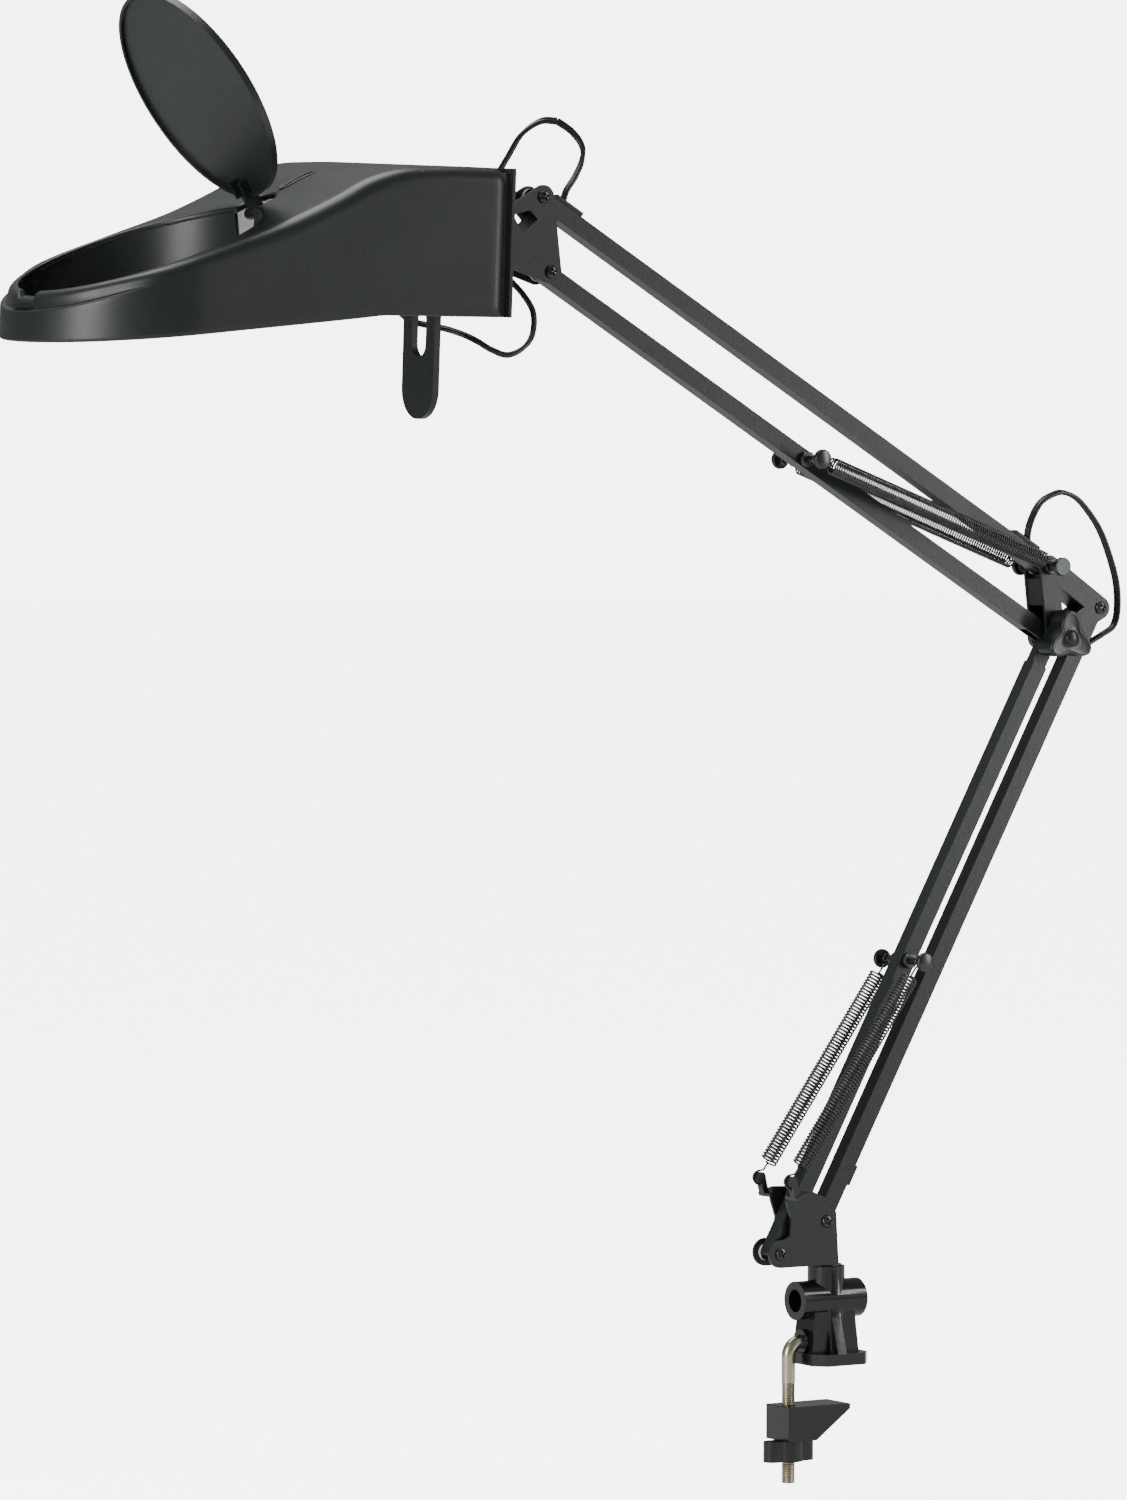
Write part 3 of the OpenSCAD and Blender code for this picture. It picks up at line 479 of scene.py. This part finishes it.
coil_springs("lower_balance_springs", ["lower_springs", "lower_spring_eyes"],
             hook, lower_post, 66, 4.65, 0.6, 3.9, 2.6)
coil_springs("upper_balance_springs", ["upper_springs", "upper_spring_eyes"],
             spring_top, upper_post, 96, 4.65, 0.6, 3.2, 2.6)

# The elbow: two pressed triangles with a raised web between them, on a bolt, a screw and the long pin
# that also carries the springs' ends. A bright washer sits under the knob.
eased("elbow_bracket", 0.5, arm_paint)
eased("elbow_washers", 0.2, pale_nylon)
eased("spring_pin", 0.5, black_steel)
eased("elbow_nut", 0.3, black_steel)
eased("elbow_steel_washer", 0.25, bright_zinc)
pan_screws("elbow_bolts", ["elbow_level"])
knob_place = place_of("elbow_knob_turn")
bolt_points, bolt_faces = at_places([knob_place], *turned(
    [(0, -22.8), (2.9, -22.8), (3.0, -22.5), (3.0, 9.0), (6.3, 9.0), (6.5, 9.3), (6.5, 11.2),
        (5.8, 12.0), (0, 12.2)], count=40))
knob_bolt = piece("elbow_knob_bolt", bolt_points, bolt_faces, "elbow", black_steel)
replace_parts(knob_bolt, "elbow_bolts")

# The elbow knob: satin black plastic with three finger lobes, a flat face and a low domed cap.


def lobed_knob():
    """Three-lobed radius 12.3 + 3.6 cos 3(a - 90 deg) + 0.35 cos 6(a - 90 deg); the cap on its face is
    round, radius 4.4. Rows carry the outline from the cap over the face, round the rim and down to
    the back."""
    a = np.linspace(0, 2 * np.pi, 144, endpoint=False)
    lobes = 12.3 + 3.6 * np.cos(3 * (a - np.pi / 2)) + 0.35 * np.cos(6 * (a - np.pi / 2))
    rows = [(0 * a, -26.2 + 0 * a)]
    rows += [(4.4 * np.sin(t) + 0 * a, -24.6 - 1.6 * np.cos(t) + 0 * a) for t in np.radians([25, 50, 70,
        85])]
    rows += [(4.5 + 0 * a, -24.1 + 0 * a), (5.3 + 0 * a, -23.7 + 0 * a)]
    rows += [(5.3 + (lobes - 2.2 - 5.3) * f, -23.7 - 0.35 * f + 0 * a) for f in (0.35, 0.7, 1.0)]
    rows += [(lobes - 1.3 + 1.3 * np.sin(t), -22.9 - 1.3 * np.cos(t) + 0 * a) for t in np.radians([0,
        30, 60, 90])]
    rows += [(lobes + 0.1, -18 + 0 * a), (lobes, -12 + 0 * a)]
    rows += [(lobes - 0.9 + 0.9 * np.cos(t), -11.2 + 0.9 * np.sin(t) + 0 * a) for t in np.radians([30,
        60, 90])]
    rows += [(3.05 + 0 * a, -10.3 + 0 * a), (3.05 + 0 * a, -23 + 0 * a), (0 * a, -23 + 0 * a)]
    r, y = np.stack([p for p, q in rows]), np.stack([q for p, q in rows])
    return np.stack([r * np.cos(a), y, r * np.sin(a)], axis=-1), grid_faces(len(rows), len(a),
        wrap=True)


points, faces = at_places([knob_place], *lobed_knob())
knob = piece("elbow_knob_lobed", points, faces, "elbow_hand_knob", satin_knob, sharp=45)
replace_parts(knob, "elbow_knob")

# The upper bars, their spring post, and the low nylon covers over the two slots where the flex goes in
# and out of the top bar.
eased("upper_top_bar", 0.8, arm_paint)
eased("upper_lower_bar", 0.8, arm_paint)
eased("flex_clips", 0.5, black_nylon)
spring_post("upper_spring_post", (upper_post[0], upper_post[2]))

# The head bracket: two flat plates each side of the bars, two screws, and the tilt bolt with its wing
# nut on the far side. A grey die-cast knuckle between them holds the head's stem.
eased("head_bracket_near", 0.45, arm_paint)
eased("head_bracket_far", 0.45, arm_paint)
eased("head_washers", 0.2, pale_nylon)
eased("head_nuts", 0.3, black_steel)
eased("tilt_bolt", 0.6, black_steel)
eased("tilt_knob", 0.9, satin_knob)
cast_grey = finish("grey_die_casting", (0.17, 0.16, 0.15), (0.27, 0.26, 0.24), (0.38, 0.5),
    metallic=0.7, grain=500, depth=0.5)
eased("knuckle", 0.8, cast_grey)
head_level_place = place_of("head_level")
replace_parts(pan_screws("head_screws", ["head_level"], [(head_level_place[0] + 4.8,
    head_level_place[1] - 41.6)]), "head_screws")

# The flex: flat black twin, 5 mm by 3, that lies inside two bars and makes a free loop at the elbow, at the
# head bracket and below the knuckle.
vinyl = finish("black_vinyl", (0.005, 0.0055, 0.0055), (0.009, 0.0095, 0.0095), (0.26, 0.38), grain=800,
    depth=0.12)


def smooth_route(route, step=1.0):
    """A Catmull-Rom curve through the route's points, sampled about every step mm."""
    p = np.asarray(route, float)
    p = np.concatenate([[2 * p[0] - p[1]], p, [2 * p[-1] - p[-2]]])
    count = np.maximum(np.round(np.linalg.norm(p[2:-1] - p[1:-2], axis=1) / step).astype(int), 1)
    i = np.repeat(np.arange(len(count)), count)
    t = (np.arange(len(i)) - np.repeat(np.cumsum(count) - count, count)) / count[i]
    t = t[:, None]
    a, b, c, d = p[i], p[i + 1], p[i + 2], p[i + 3]
    curve = 0.5 * (2 * b + (c - a) * t + (2 * a - 5 * b + 4 * c - d) * t**2 + (3 * b - 3 * c + d - a) * t**3)
    return np.concatenate([curve, p[-2:-1]])


def twin_flex(name, route, side0, side1, nodes, body=None, between=None,
    step=1.0):
    """Twin flex along a route: two cores of radius 1.45, 2.4 apart, their broad side turning from side0 to
    side1 along the way. It rides on one body, or, given between, on none, and stays where it is drawn."""
    path = smooth_route(route, step)
    angle = np.linspace(0, 2 * np.pi, 24, endpoint=False)
    lobe = 1.2 * np.abs(np.cos(angle)) + np.sqrt(1.45**2 - (1.2 * np.sin(angle)) ** 2)
    share = np.linspace(0, 1, len(path))[:, None]
    side = np.asarray(side0, float) * (1 - share) + np.asarray(side1, float) * share
    points, faces = swept(path, side, lobe * np.cos(angle), lobe * np.sin(angle))
    flex = piece(name, points, faces, body, vinyl, sharp=60)
    if between:
        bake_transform(flex)
    if nodes:
        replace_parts(flex, *nodes)


twin_flex("flex_in_top_bar", [(141.8, 0, 467), (140.6, 0, 464.4), (137, 0, 465), (130, 0, 469.5),
    (-30, 0, 565), (-165, 0, 645.5), (-174, 0, 652)],
          (0, 1, 0), (0, 1, 0), ["upper_flex"], body="upper_top", step=2)
twin_flex("flex_elbow_front", [(141.8, 0, 466), (141, 0, 475), (144, 0, 485), (151, 0, 495),
    (162, 0, 500), (168, 0, 500.2)],
          (0, 1, 0), (0, 1, 0.2), ["elbow_flex_loop"], between=("elbow", "upper_top"))
twin_flex("flex_elbow_rear", [(162, 0, 500), (168, 0, 500.2), (175, 0, 497.6), (182, 0, 492),
    (192, 0, 480), (199, 0, 466), (205, 0, 448), (206, 0, 432),
                              (203, 0, 422), (195, 0, 417), (187, 0, 413)][1:],
          (0, 1, 0.2), (0, 1, 0), ["elbow_flex_loop"], between=("elbow", "lower_rear"))
twin_flex("flex_in_rear_bar", [(187, 0, 413), (180, 0, 409.5), (174.5, 0, 406.5), (171, 0, 401),
    (87, 0, 250), (18, 0, 124), (14, 0, 116),
                               (13.5, 0, 110.5), (15, 0, 107.5)], (0, 1, 0), (0, 1, 0), ["lower_flex"],
                               body="lower_rear", step=2)
twin_flex("flex_head_rise", [(-172, 0, 650.6), (-178, 0, 657), (-176, 1, 667), (-168, 3, 677),
    (-162, 6, 686), (-160, 9, 694), (-164, 13, 702),
                             (-172, 16, 708)], (0, 1, 0.2), (0.8, 0.6, 0.6), [], body="upper_top")
twin_flex("flex_head_over", [(-164, 13, 702), (-172, 16, 708), (-182, 18, 707.6), (-193, 20, 700),
    (-201, 21, 688), (-208, 22, 676), (-211, 22, 664),
                             (-212, 22, 652)][1:], (0.8, 0.6, 0.6), (0.8, 0.6, 0), ["head_flex_upper"],
          between=("upper_top", "head_bracket"))
twin_flex("flex_past_knuckle", [(-212, 22, 652), (-213, 22, 643), (-213, 21, 634), (-210, 18, 627),
    (-204, 14, 618)], (0.8, 0.6, 0), (0.8, 0.6, 0),
          ["head_flex_middle"], between=("head_bracket", "head_knuckle"))
twin_flex("flex_to_switch", [(-204, 14, 618), (-198, 10, 610), (-194, 6, 600), (-197, 2, 588),
    (-205, -1, 580), (-216, -2, 576), (-226, -1, 579),
                             (-232, 2, 583), (-237, 9, 587), (-244, 17, 590.5), (-252, 23, 592.5),
                             (-259, 27, 594.5), (-263.5, 31, 598),
                             (-265, 37, 604), (-265, 43, 612), (-265, 48, 621)], (0.8, 0.6, 0),
                             (0.3, 1, 0.6), ["head_flex_lower"],
          between=("head_knuckle", "head"))

# The shade: one satin black moulding, 2.5 mm thick and open below. Its deep back holds the lamp, and its
# top falls in a long S to the ring round the lens, where the wall steps in above a low band. All of it
# is set out in the head's own frame: x forward from its back, y to the near side, z up from its foot.
knuckle_axis = np.array(joints["head_roll"]["pos_m"])
lid_axis = joints["lid_hinge"]["axis"]
head_roll = math.atan2(lid_axis[2], lid_axis[1])
stem_gap = 0.0285
half_height = 0.0405


def in_head(x, y, z):
    """Takes places in the head's frame, in mm, to the lamp's frame, in mm."""
    x, y, z = np.broadcast_arrays(np.asarray(x, float), np.asarray(y, float), np.asarray(z, float))
    across, up = -y, z - half_height * 1000
    return np.stack([
        (knuckle_axis[0] - stem_gap) * 1000 - x,
        knuckle_axis[1] * 1000 + across * math.cos(head_roll) - up * math.sin(head_roll),
        knuckle_axis[2] * 1000 + across * math.sin(head_roll) + up * math.cos(head_roll)], axis=-1)


shade_black = finish("shade_black", (0.006, 0.0078, 0.008), (0.0105, 0.013, 0.0135), (0.34, 0.46),
    grain=1500, depth=0.4)
ring_x, half_w, well_x, well_r = 188.0, 75.0, 188.5, 64.9
back_corner = 10.0
shade_wall = 2.5


def smooth_through(knots, values, x):
    """Cubic Hermite curve through (knot, value) pairs, its slopes taken from the neighbours."""
    k, v = np.asarray(knots, float), np.asarray(values, float)
    slope = np.gradient(v, k)
    x = np.clip(x, k[0], k[-1])
    i = np.clip(np.searchsorted(k, x) - 1, 0, len(k) - 2)
    h = k[i + 1] - k[i]
    t = (x - k[i]) / h
    return ((2 * t**3 - 3 * t**2 + 1) * v[i] + (t**3 - 2 * t**2 + t) * h * slope[i]
            + (3 * t**2 - 2 * t**3) * v[i + 1] + (t**3 - t**2) * h * slope[i + 1])


def shade_top(x):
    """Height of the shade's top along the head: flat, an S-shaped fall, then an even slope."""
    return smooth_through([0, 45, 68, 86, 108, 134, 165, 197, 230, 264],
                          [81, 81, 79.2, 74, 62.8, 51, 39.8, 28.2, 16.4, 4.4], x)


def shade_foot(x):
    """Height of the lower edge: level under the lamp, then falling forward under the lens."""
    return -0.1032 * np.maximum(x - 75, 0) * (1 - np.exp(-np.maximum(x - 75, 0) / 6))


def ease(a, b, x):
    """Rises smoothly from 0 at a to 1 at b."""
    t = np.clip((x - a) / (b - a), 0, 1)
    return t * t * (3 - 2 * t)


def shade_outline():
    """Half of the plan outline, back middle to front middle, on the near side: for each station the
    outer point, the inward direction, and the point of the opening's edge or the ridge it runs to."""
    out, inward, goal = [], [], []
    slot_half, slot_back = 9.6, 107.0
    for y in np.linspace(0, half_w - back_corner, 14)[:-1]:
        out.append((0, y)), inward.append((1, 0)), goal.append((30, 0))
    for a in np.radians(np.linspace(180, 90, 13)):
        out.append((back_corner + back_corner * np.cos(a),
            half_w - back_corner + back_corner * np.sin(a)))
        inward.append((-np.cos(a), -np.sin(a))), goal.append((30, 0))
    for x in np.linspace(back_corner, 88, 26)[1:]:
        out.append((x, half_w)), inward.append((0, -1))
        goal.append((30 + (x - back_corner) * (slot_back - 30) / (88 - back_corner), 0))
    for t in np.linspace(0, 1, 13)[1:]:
        a = np.radians(180 - 90 * t)
        goal.append((slot_back + 7 + 7 * np.cos(a), slot_half * np.sin(a)))
        out.append((88 + 10 * t, half_w)), inward.append((0, -1))
    join = np.degrees(np.arcsin(slot_half / well_r))
    for t in np.linspace(0, 1, 8)[1:]:
        x1 = well_x - well_r * np.cos(np.radians(join))
        goal.append((slot_back + 7 + (x1 - slot_back - 7) * t, slot_half))
        out.append((98 + 6 * t, half_w)), inward.append((0, -1))
    for t in np.linspace(0, 1, 44)[1:]:
        a = np.radians(180 - join - (90 - join) * t)
        goal.append((well_x + well_r * np.cos(a), well_r * np.sin(a)))
        out.append((104 + (ring_x - 104) * t, half_w)), inward.append((0, -1))
    for a in np.radians(np.concatenate([np.linspace(90, 9, 62)[1:], np.linspace(7.2, 0, 8)])):
        out.append((ring_x + half_w * np.cos(a), half_w * np.sin(a)))
        inward.append((-np.cos(a), -np.sin(a)))
        goal.append((well_x + well_r * np.cos(a), well_r * np.sin(a)))
    return np.array(out), np.array(inward), np.array(goal)


def shade_surface():
    """Rows climb from the lower edge up the wall, round the shoulder and over the top to the opening's
    edge, then 3 mm down into it. Near the ring's front the wall steps in above the band."""
    out, inward, goal = shade_outline()
    x0 = out[:, 0]
    step = 4.0 * ease(212, 240, x0)
    shoulder = 9.0 - 5.4 * ease(150, 250, x0)
    foot = shade_foot(x0)
    band = shade_top(x0) - shoulder - 2 - 2.0 * ease(205, 262, x0)
    rows = []

    def add(depth, height):
        rows.append(np.stack([x0 + inward[:, 0] * depth, out[:, 1] + inward[:, 1] * depth, height],
            axis=-1))

    add(0.7 + 0 * x0, foot)
    add(0 * x0, foot + 0.7)
    for f in np.linspace(0.08, 1, 9):
        add(0 * x0, foot + 0.7 + (band - 1.2 - foot - 0.7) * f)
    for a in np.radians([30, 60, 90]):
        add(0.3 * step * (1 - np.cos(a)), band - 1.2 + 1.2 * np.sin(a))
    for a in np.radians([30, 60, 90]):
        add(0.3 * step + 0.7 * step * np.sin(a), band + 1.2 * (1 - np.cos(a)))
    for a in np.radians(np.linspace(0, 90, 11)):
        depth = step + shoulder * (1 - np.cos(a))
        x = x0 + inward[:, 0] * depth
        add(depth, shade_top(x) - shoulder + shoulder * np.sin(a))
    start = rows[-1][:, :2]
    rim = 1.0
    gap = np.linalg.norm(goal - start, axis=1)
    open_here = (goal[:, 1] > 1e-6) | (x0 > 150)
    for f in np.linspace(0, 1, 17)[1:]:
        reach = np.where(open_here, np.maximum(gap - rim, 0) / gap, 1.0)
        p = start + (goal - start) * (f * reach)[:, None]
        rows.append(np.stack([p[:, 0], p[:, 1], shade_top(p[:, 0])], axis=-1))
    last = rows[-1]
    away = (goal - last[:, :2]) / np.maximum(np.linalg.norm(goal - last[:, :2], axis=1), 1e-6)[:, None]
    for a in np.radians([30, 60, 90]):
        p = np.where(open_here[:, None], last[:, :2] + away * rim * np.sin(a), last[:, :2])
        drop = np.where(open_here, rim * (1 - np.cos(a)), 0)
        rows.append(np.stack([p[:, 0], p[:, 1], shade_top(p[:, 0]) - drop], axis=-1))
    lower = rows[-1].copy()
    lower[:, 2] -= np.where(open_here, 2.2, 0)
    rows.append(lower)
    grid = np.stack(rows)
    notch = (np.abs(grid[..., 1]) < 9.4) & (grid[..., 0] > ring_x + 50) & (grid[...,
        2] > shade_foot(grid[..., 0]) + 14)
    grid[..., 2] -= 3.2 * notch * ease(0, 2.5, grid[..., 2] - (shade_top(grid[..., 0]) - 4.5))
    mirror = grid[:, ::-1].copy()
    mirror[..., 1] *= -1
    return np.concatenate([grid, mirror[:, 1:]], axis=1)


surface = shade_surface()
rows, cols = surface.shape[:2]
shade = piece("shade_shell", in_head(*np.moveaxis(surface, -1, 0)) / 1000,
              grid_faces(rows, cols, wrap=True), "head", shade_black, sharp=50)
thick = shade.modifiers.new("wall", "SOLIDIFY")
thick.thickness = shade_wall / 1000
thick.offset = -1
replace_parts(shade, "shade")


def lens_plane(x):
    """Height of the lens's middle plane, which falls forward by 5.9 degrees."""
    return -5.68 - (x - ring_x) * math.tan(math.radians(5.9))


def well_surface():
    """The ring's inner wall: down from the rim, in to the lip that the lens sits under, down round the
    lens's edge and back up outside. Heights run from the rim's slope to the lens's plane."""
    a = np.radians(np.linspace(0, 360, 180, endpoint=False))
    rows = []
    for r, share, drop in ((64.9, 1, -3.0), (64.9, 0.5, 0), (64.9, 0, 6.2), (64.0, 0, 5.3),
        (61.4, 0, 5.2), (61.0, 0, 4.8), (61.0, 0, 3.3),
                           (64.4, 0, 3.2), (64.4, 0, -5.4), (67.2, 0, -5.4), (67.2, 0.5, 0),
                           (67.2, 1, -4.5)):
        x, y = well_x + r * np.cos(a), r * np.sin(a)
        top = shade_top(x)
        top = np.where((np.abs(y) < 9.6) & (x < 140), np.minimum(top, 43), top)
        rows.append(np.stack([x, y, share * top + (1 - share) * lens_plane(x) + drop], axis=-1))
    rows.append(rows[0].copy())
    return np.stack(rows)


surface = well_surface()
piece("lens_well", in_head(*np.moveaxis(surface, -1, 0)) / 1000,
    grid_faces(*surface.shape[:2], wrap=True), "head",
             shade_black, sharp=40)

# A keyhole-shaped groove with a raised lip lies on the top, just behind the lid's slot.
loop = np.radians(np.linspace(0, 360, 72, endpoint=False))
loop_half = np.where(np.cos(loop) < 0, 3.4, 2.3)
loop_x = 93 + 7.5 * np.sign(np.cos(loop)) * np.abs(np.cos(loop)) ** 0.25 + loop_half * np.cos(loop)
loop_y = loop_half * np.sin(loop)
lip_turn = np.linspace(0, 2 * np.pi, 8, endpoint=False)
lip_line = np.stack([loop_x, loop_y, shade_top(loop_x) + 0.1], axis=-1)
lip_out = np.stack([np.cos(loop), np.sin(loop), 0 * loop], axis=-1)
lip = lip_line[:, None] + 0.75 * np.cos(lip_turn)[None, :, None] * lip_out[:,
    None] + np.array([0, 0, 0.65]) * np.sin(lip_turn)[None, :, None]
lip = np.concatenate([lip, lip[:1]])
piece("keyhole_lip", in_head(*np.moveaxis(lip, -1, 0)) / 1000, grid_faces(*lip.shape[:2], wrap=True),
    "head", shade_black, sharp=60)

# The back: a flat plate as wide and high as the shade, with the stem's flange, a rocker switch and the
# handle, whose two screws go in from behind.
eased("back_cover", 0.35, shade_black)
eased("switch_body", 0.3, black_nylon)
eased("switch_rocker", 0.5, satin_knob)
eased("handle", 1.1, shade_black)
eased("handle_screws", 0.3, black_steel)


def in_stem(points):
    """Turns a shape made about Y so that its +Y runs backwards along the head's stem."""
    return in_head(-points[..., 1], points[..., 0], half_height * 1000 + points[..., 2]) / 1000


stem_profile = [(0, -4.5), (6.4, -4.5), (6.4, -0.6), (3, -0.5), (3, 2.0), (13.6, 2.0), (14, 2.4),
    (14, 4.5), (13.5, 5.0), (10.4, 5.2)]
for rib in range(4):
    y = 6.0 + rib * 2.0
    stem_profile += [(10.0, y - 0.5), (10.0, y + 0.2), (9.1, y + 0.4), (9.1, y + 1.0), (10.0, y + 1.2)]
stem_profile += [(10.0, 13.6), (9.6, 14.0), (5.0, 14.1), (5.0, 23.2), (4.6, 23.6), (0, 23.6)]
points, faces = turned(stem_profile, count=72)
stem = piece("ribbed_stem", in_stem(points), faces, "head", satin_knob, sharp=35)
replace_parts(stem, "head_stem")

# Inside: a white enamelled steel reflector over a white lampholder and a frosted bulb.
enamel = finish("white_enamel", (0.80, 0.80, 0.77), (0.86, 0.86, 0.83), (0.2, 0.32), grain=300,
    depth=0.15)
holder_white = finish("holder_white", (0.72, 0.71, 0.66), (0.80, 0.79, 0.74), (0.3, 0.42), grain=900,
    depth=0.1)
eased("reflector", 0.2, enamel)
eased("lampholder", 0.6, holder_white)
frosted = finish("frosted_bulb", (0.84, 0.84, 0.80), (0.90, 0.90, 0.87), (0.25, 0.35), grain=1500,
    depth=0.05)
bulb_y = np.concatenate([np.linspace(14, 42, 8), np.linspace(46, 66, 8)])
bulb_r = np.concatenate([np.full(8, 12.9), 12.9 + 7.0 * ease(44, 66, np.linspace(46, 66, 8))])
dome = np.radians(np.linspace(28, 180, 24))
bulb_profile = [(0, 14)] + list(zip(bulb_r, bulb_y)) + [(22.4 * math.sin(t),
    78 - 22.4 * math.cos(t)) for t in dome]
points, faces = turned(bulb_profile, count=72)
bulb = piece("frosted_globe", in_head(points[..., 1], points[..., 0], 36 + points[..., 2]) / 1000,
    faces, "head", frosted, sharp=60)
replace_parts(bulb, "bulb")

# The lens: clear glass, ground convex on both faces, held up against its lip by a thin black ring.
glass = bpy.data.materials.new("lens_glass")
glass.use_nodes = True
glass_skin = glass.node_tree.nodes["Principled BSDF"]
glass_skin.inputs["Base Color"].default_value = (0.93, 0.97, 0.96, 1)
glass_skin.inputs["Transmission Weight"].default_value = 1.0
glass_skin.inputs["IOR"].default_value = 1.52
glass_place = glass.node_tree.nodes.new("ShaderNodeTexCoord")
glass_smear = glass.node_tree.nodes.new("ShaderNodeTexNoise")
glass_smear.inputs["Scale"].default_value = 30
glass_gloss = glass.node_tree.nodes.new("ShaderNodeMapRange")
glass_gloss.inputs["To Min"].default_value = 0.01
glass_gloss.inputs["To Max"].default_value = 0.07
glass.node_tree.links.new(glass_place.outputs["Object"], glass_smear.inputs["Vector"])
glass.node_tree.links.new(glass_smear.outputs["Fac"], glass_gloss.inputs["Value"])
glass.node_tree.links.new(glass_gloss.outputs["Result"], glass_skin.inputs["Roughness"])
lens_r = np.linspace(0, 63.4, 20)
lens_profile = [(r, 3.0 - 1.7 * (r / 63.4) ** 2) for r in lens_r] + [(63.9, 1.0),
    (63.9, -1.0)] + [(r, -3.0 + 1.7 * (r / 63.4) ** 2) for r in lens_r[::-1]]
points, faces = turned(lens_profile, count=120)
tilt = math.radians(5.9)
lens_points = in_head(ring_x + points[..., 0] * math.cos(tilt) + points[..., 1] * math.sin(tilt),
    points[..., 2],
                      -5.68 + points[..., 1] * math.cos(tilt) - points[..., 0] * math.sin(tilt)) / 1000
lens = piece("convex_lens", lens_points, faces, "head", glass, sharp=40)
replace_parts(lens, "lens")
eased("lens_ring", 0.3, satin_knob)

# The lid: a flat black disc with a raised rim inside, two small ribs by its hinge and a finger tab at
# the front. It turns on a steel pin across the slot.
eased("lid", 0.55, shade_black)
eased("lid_pin", 0.2, bright_zinc)
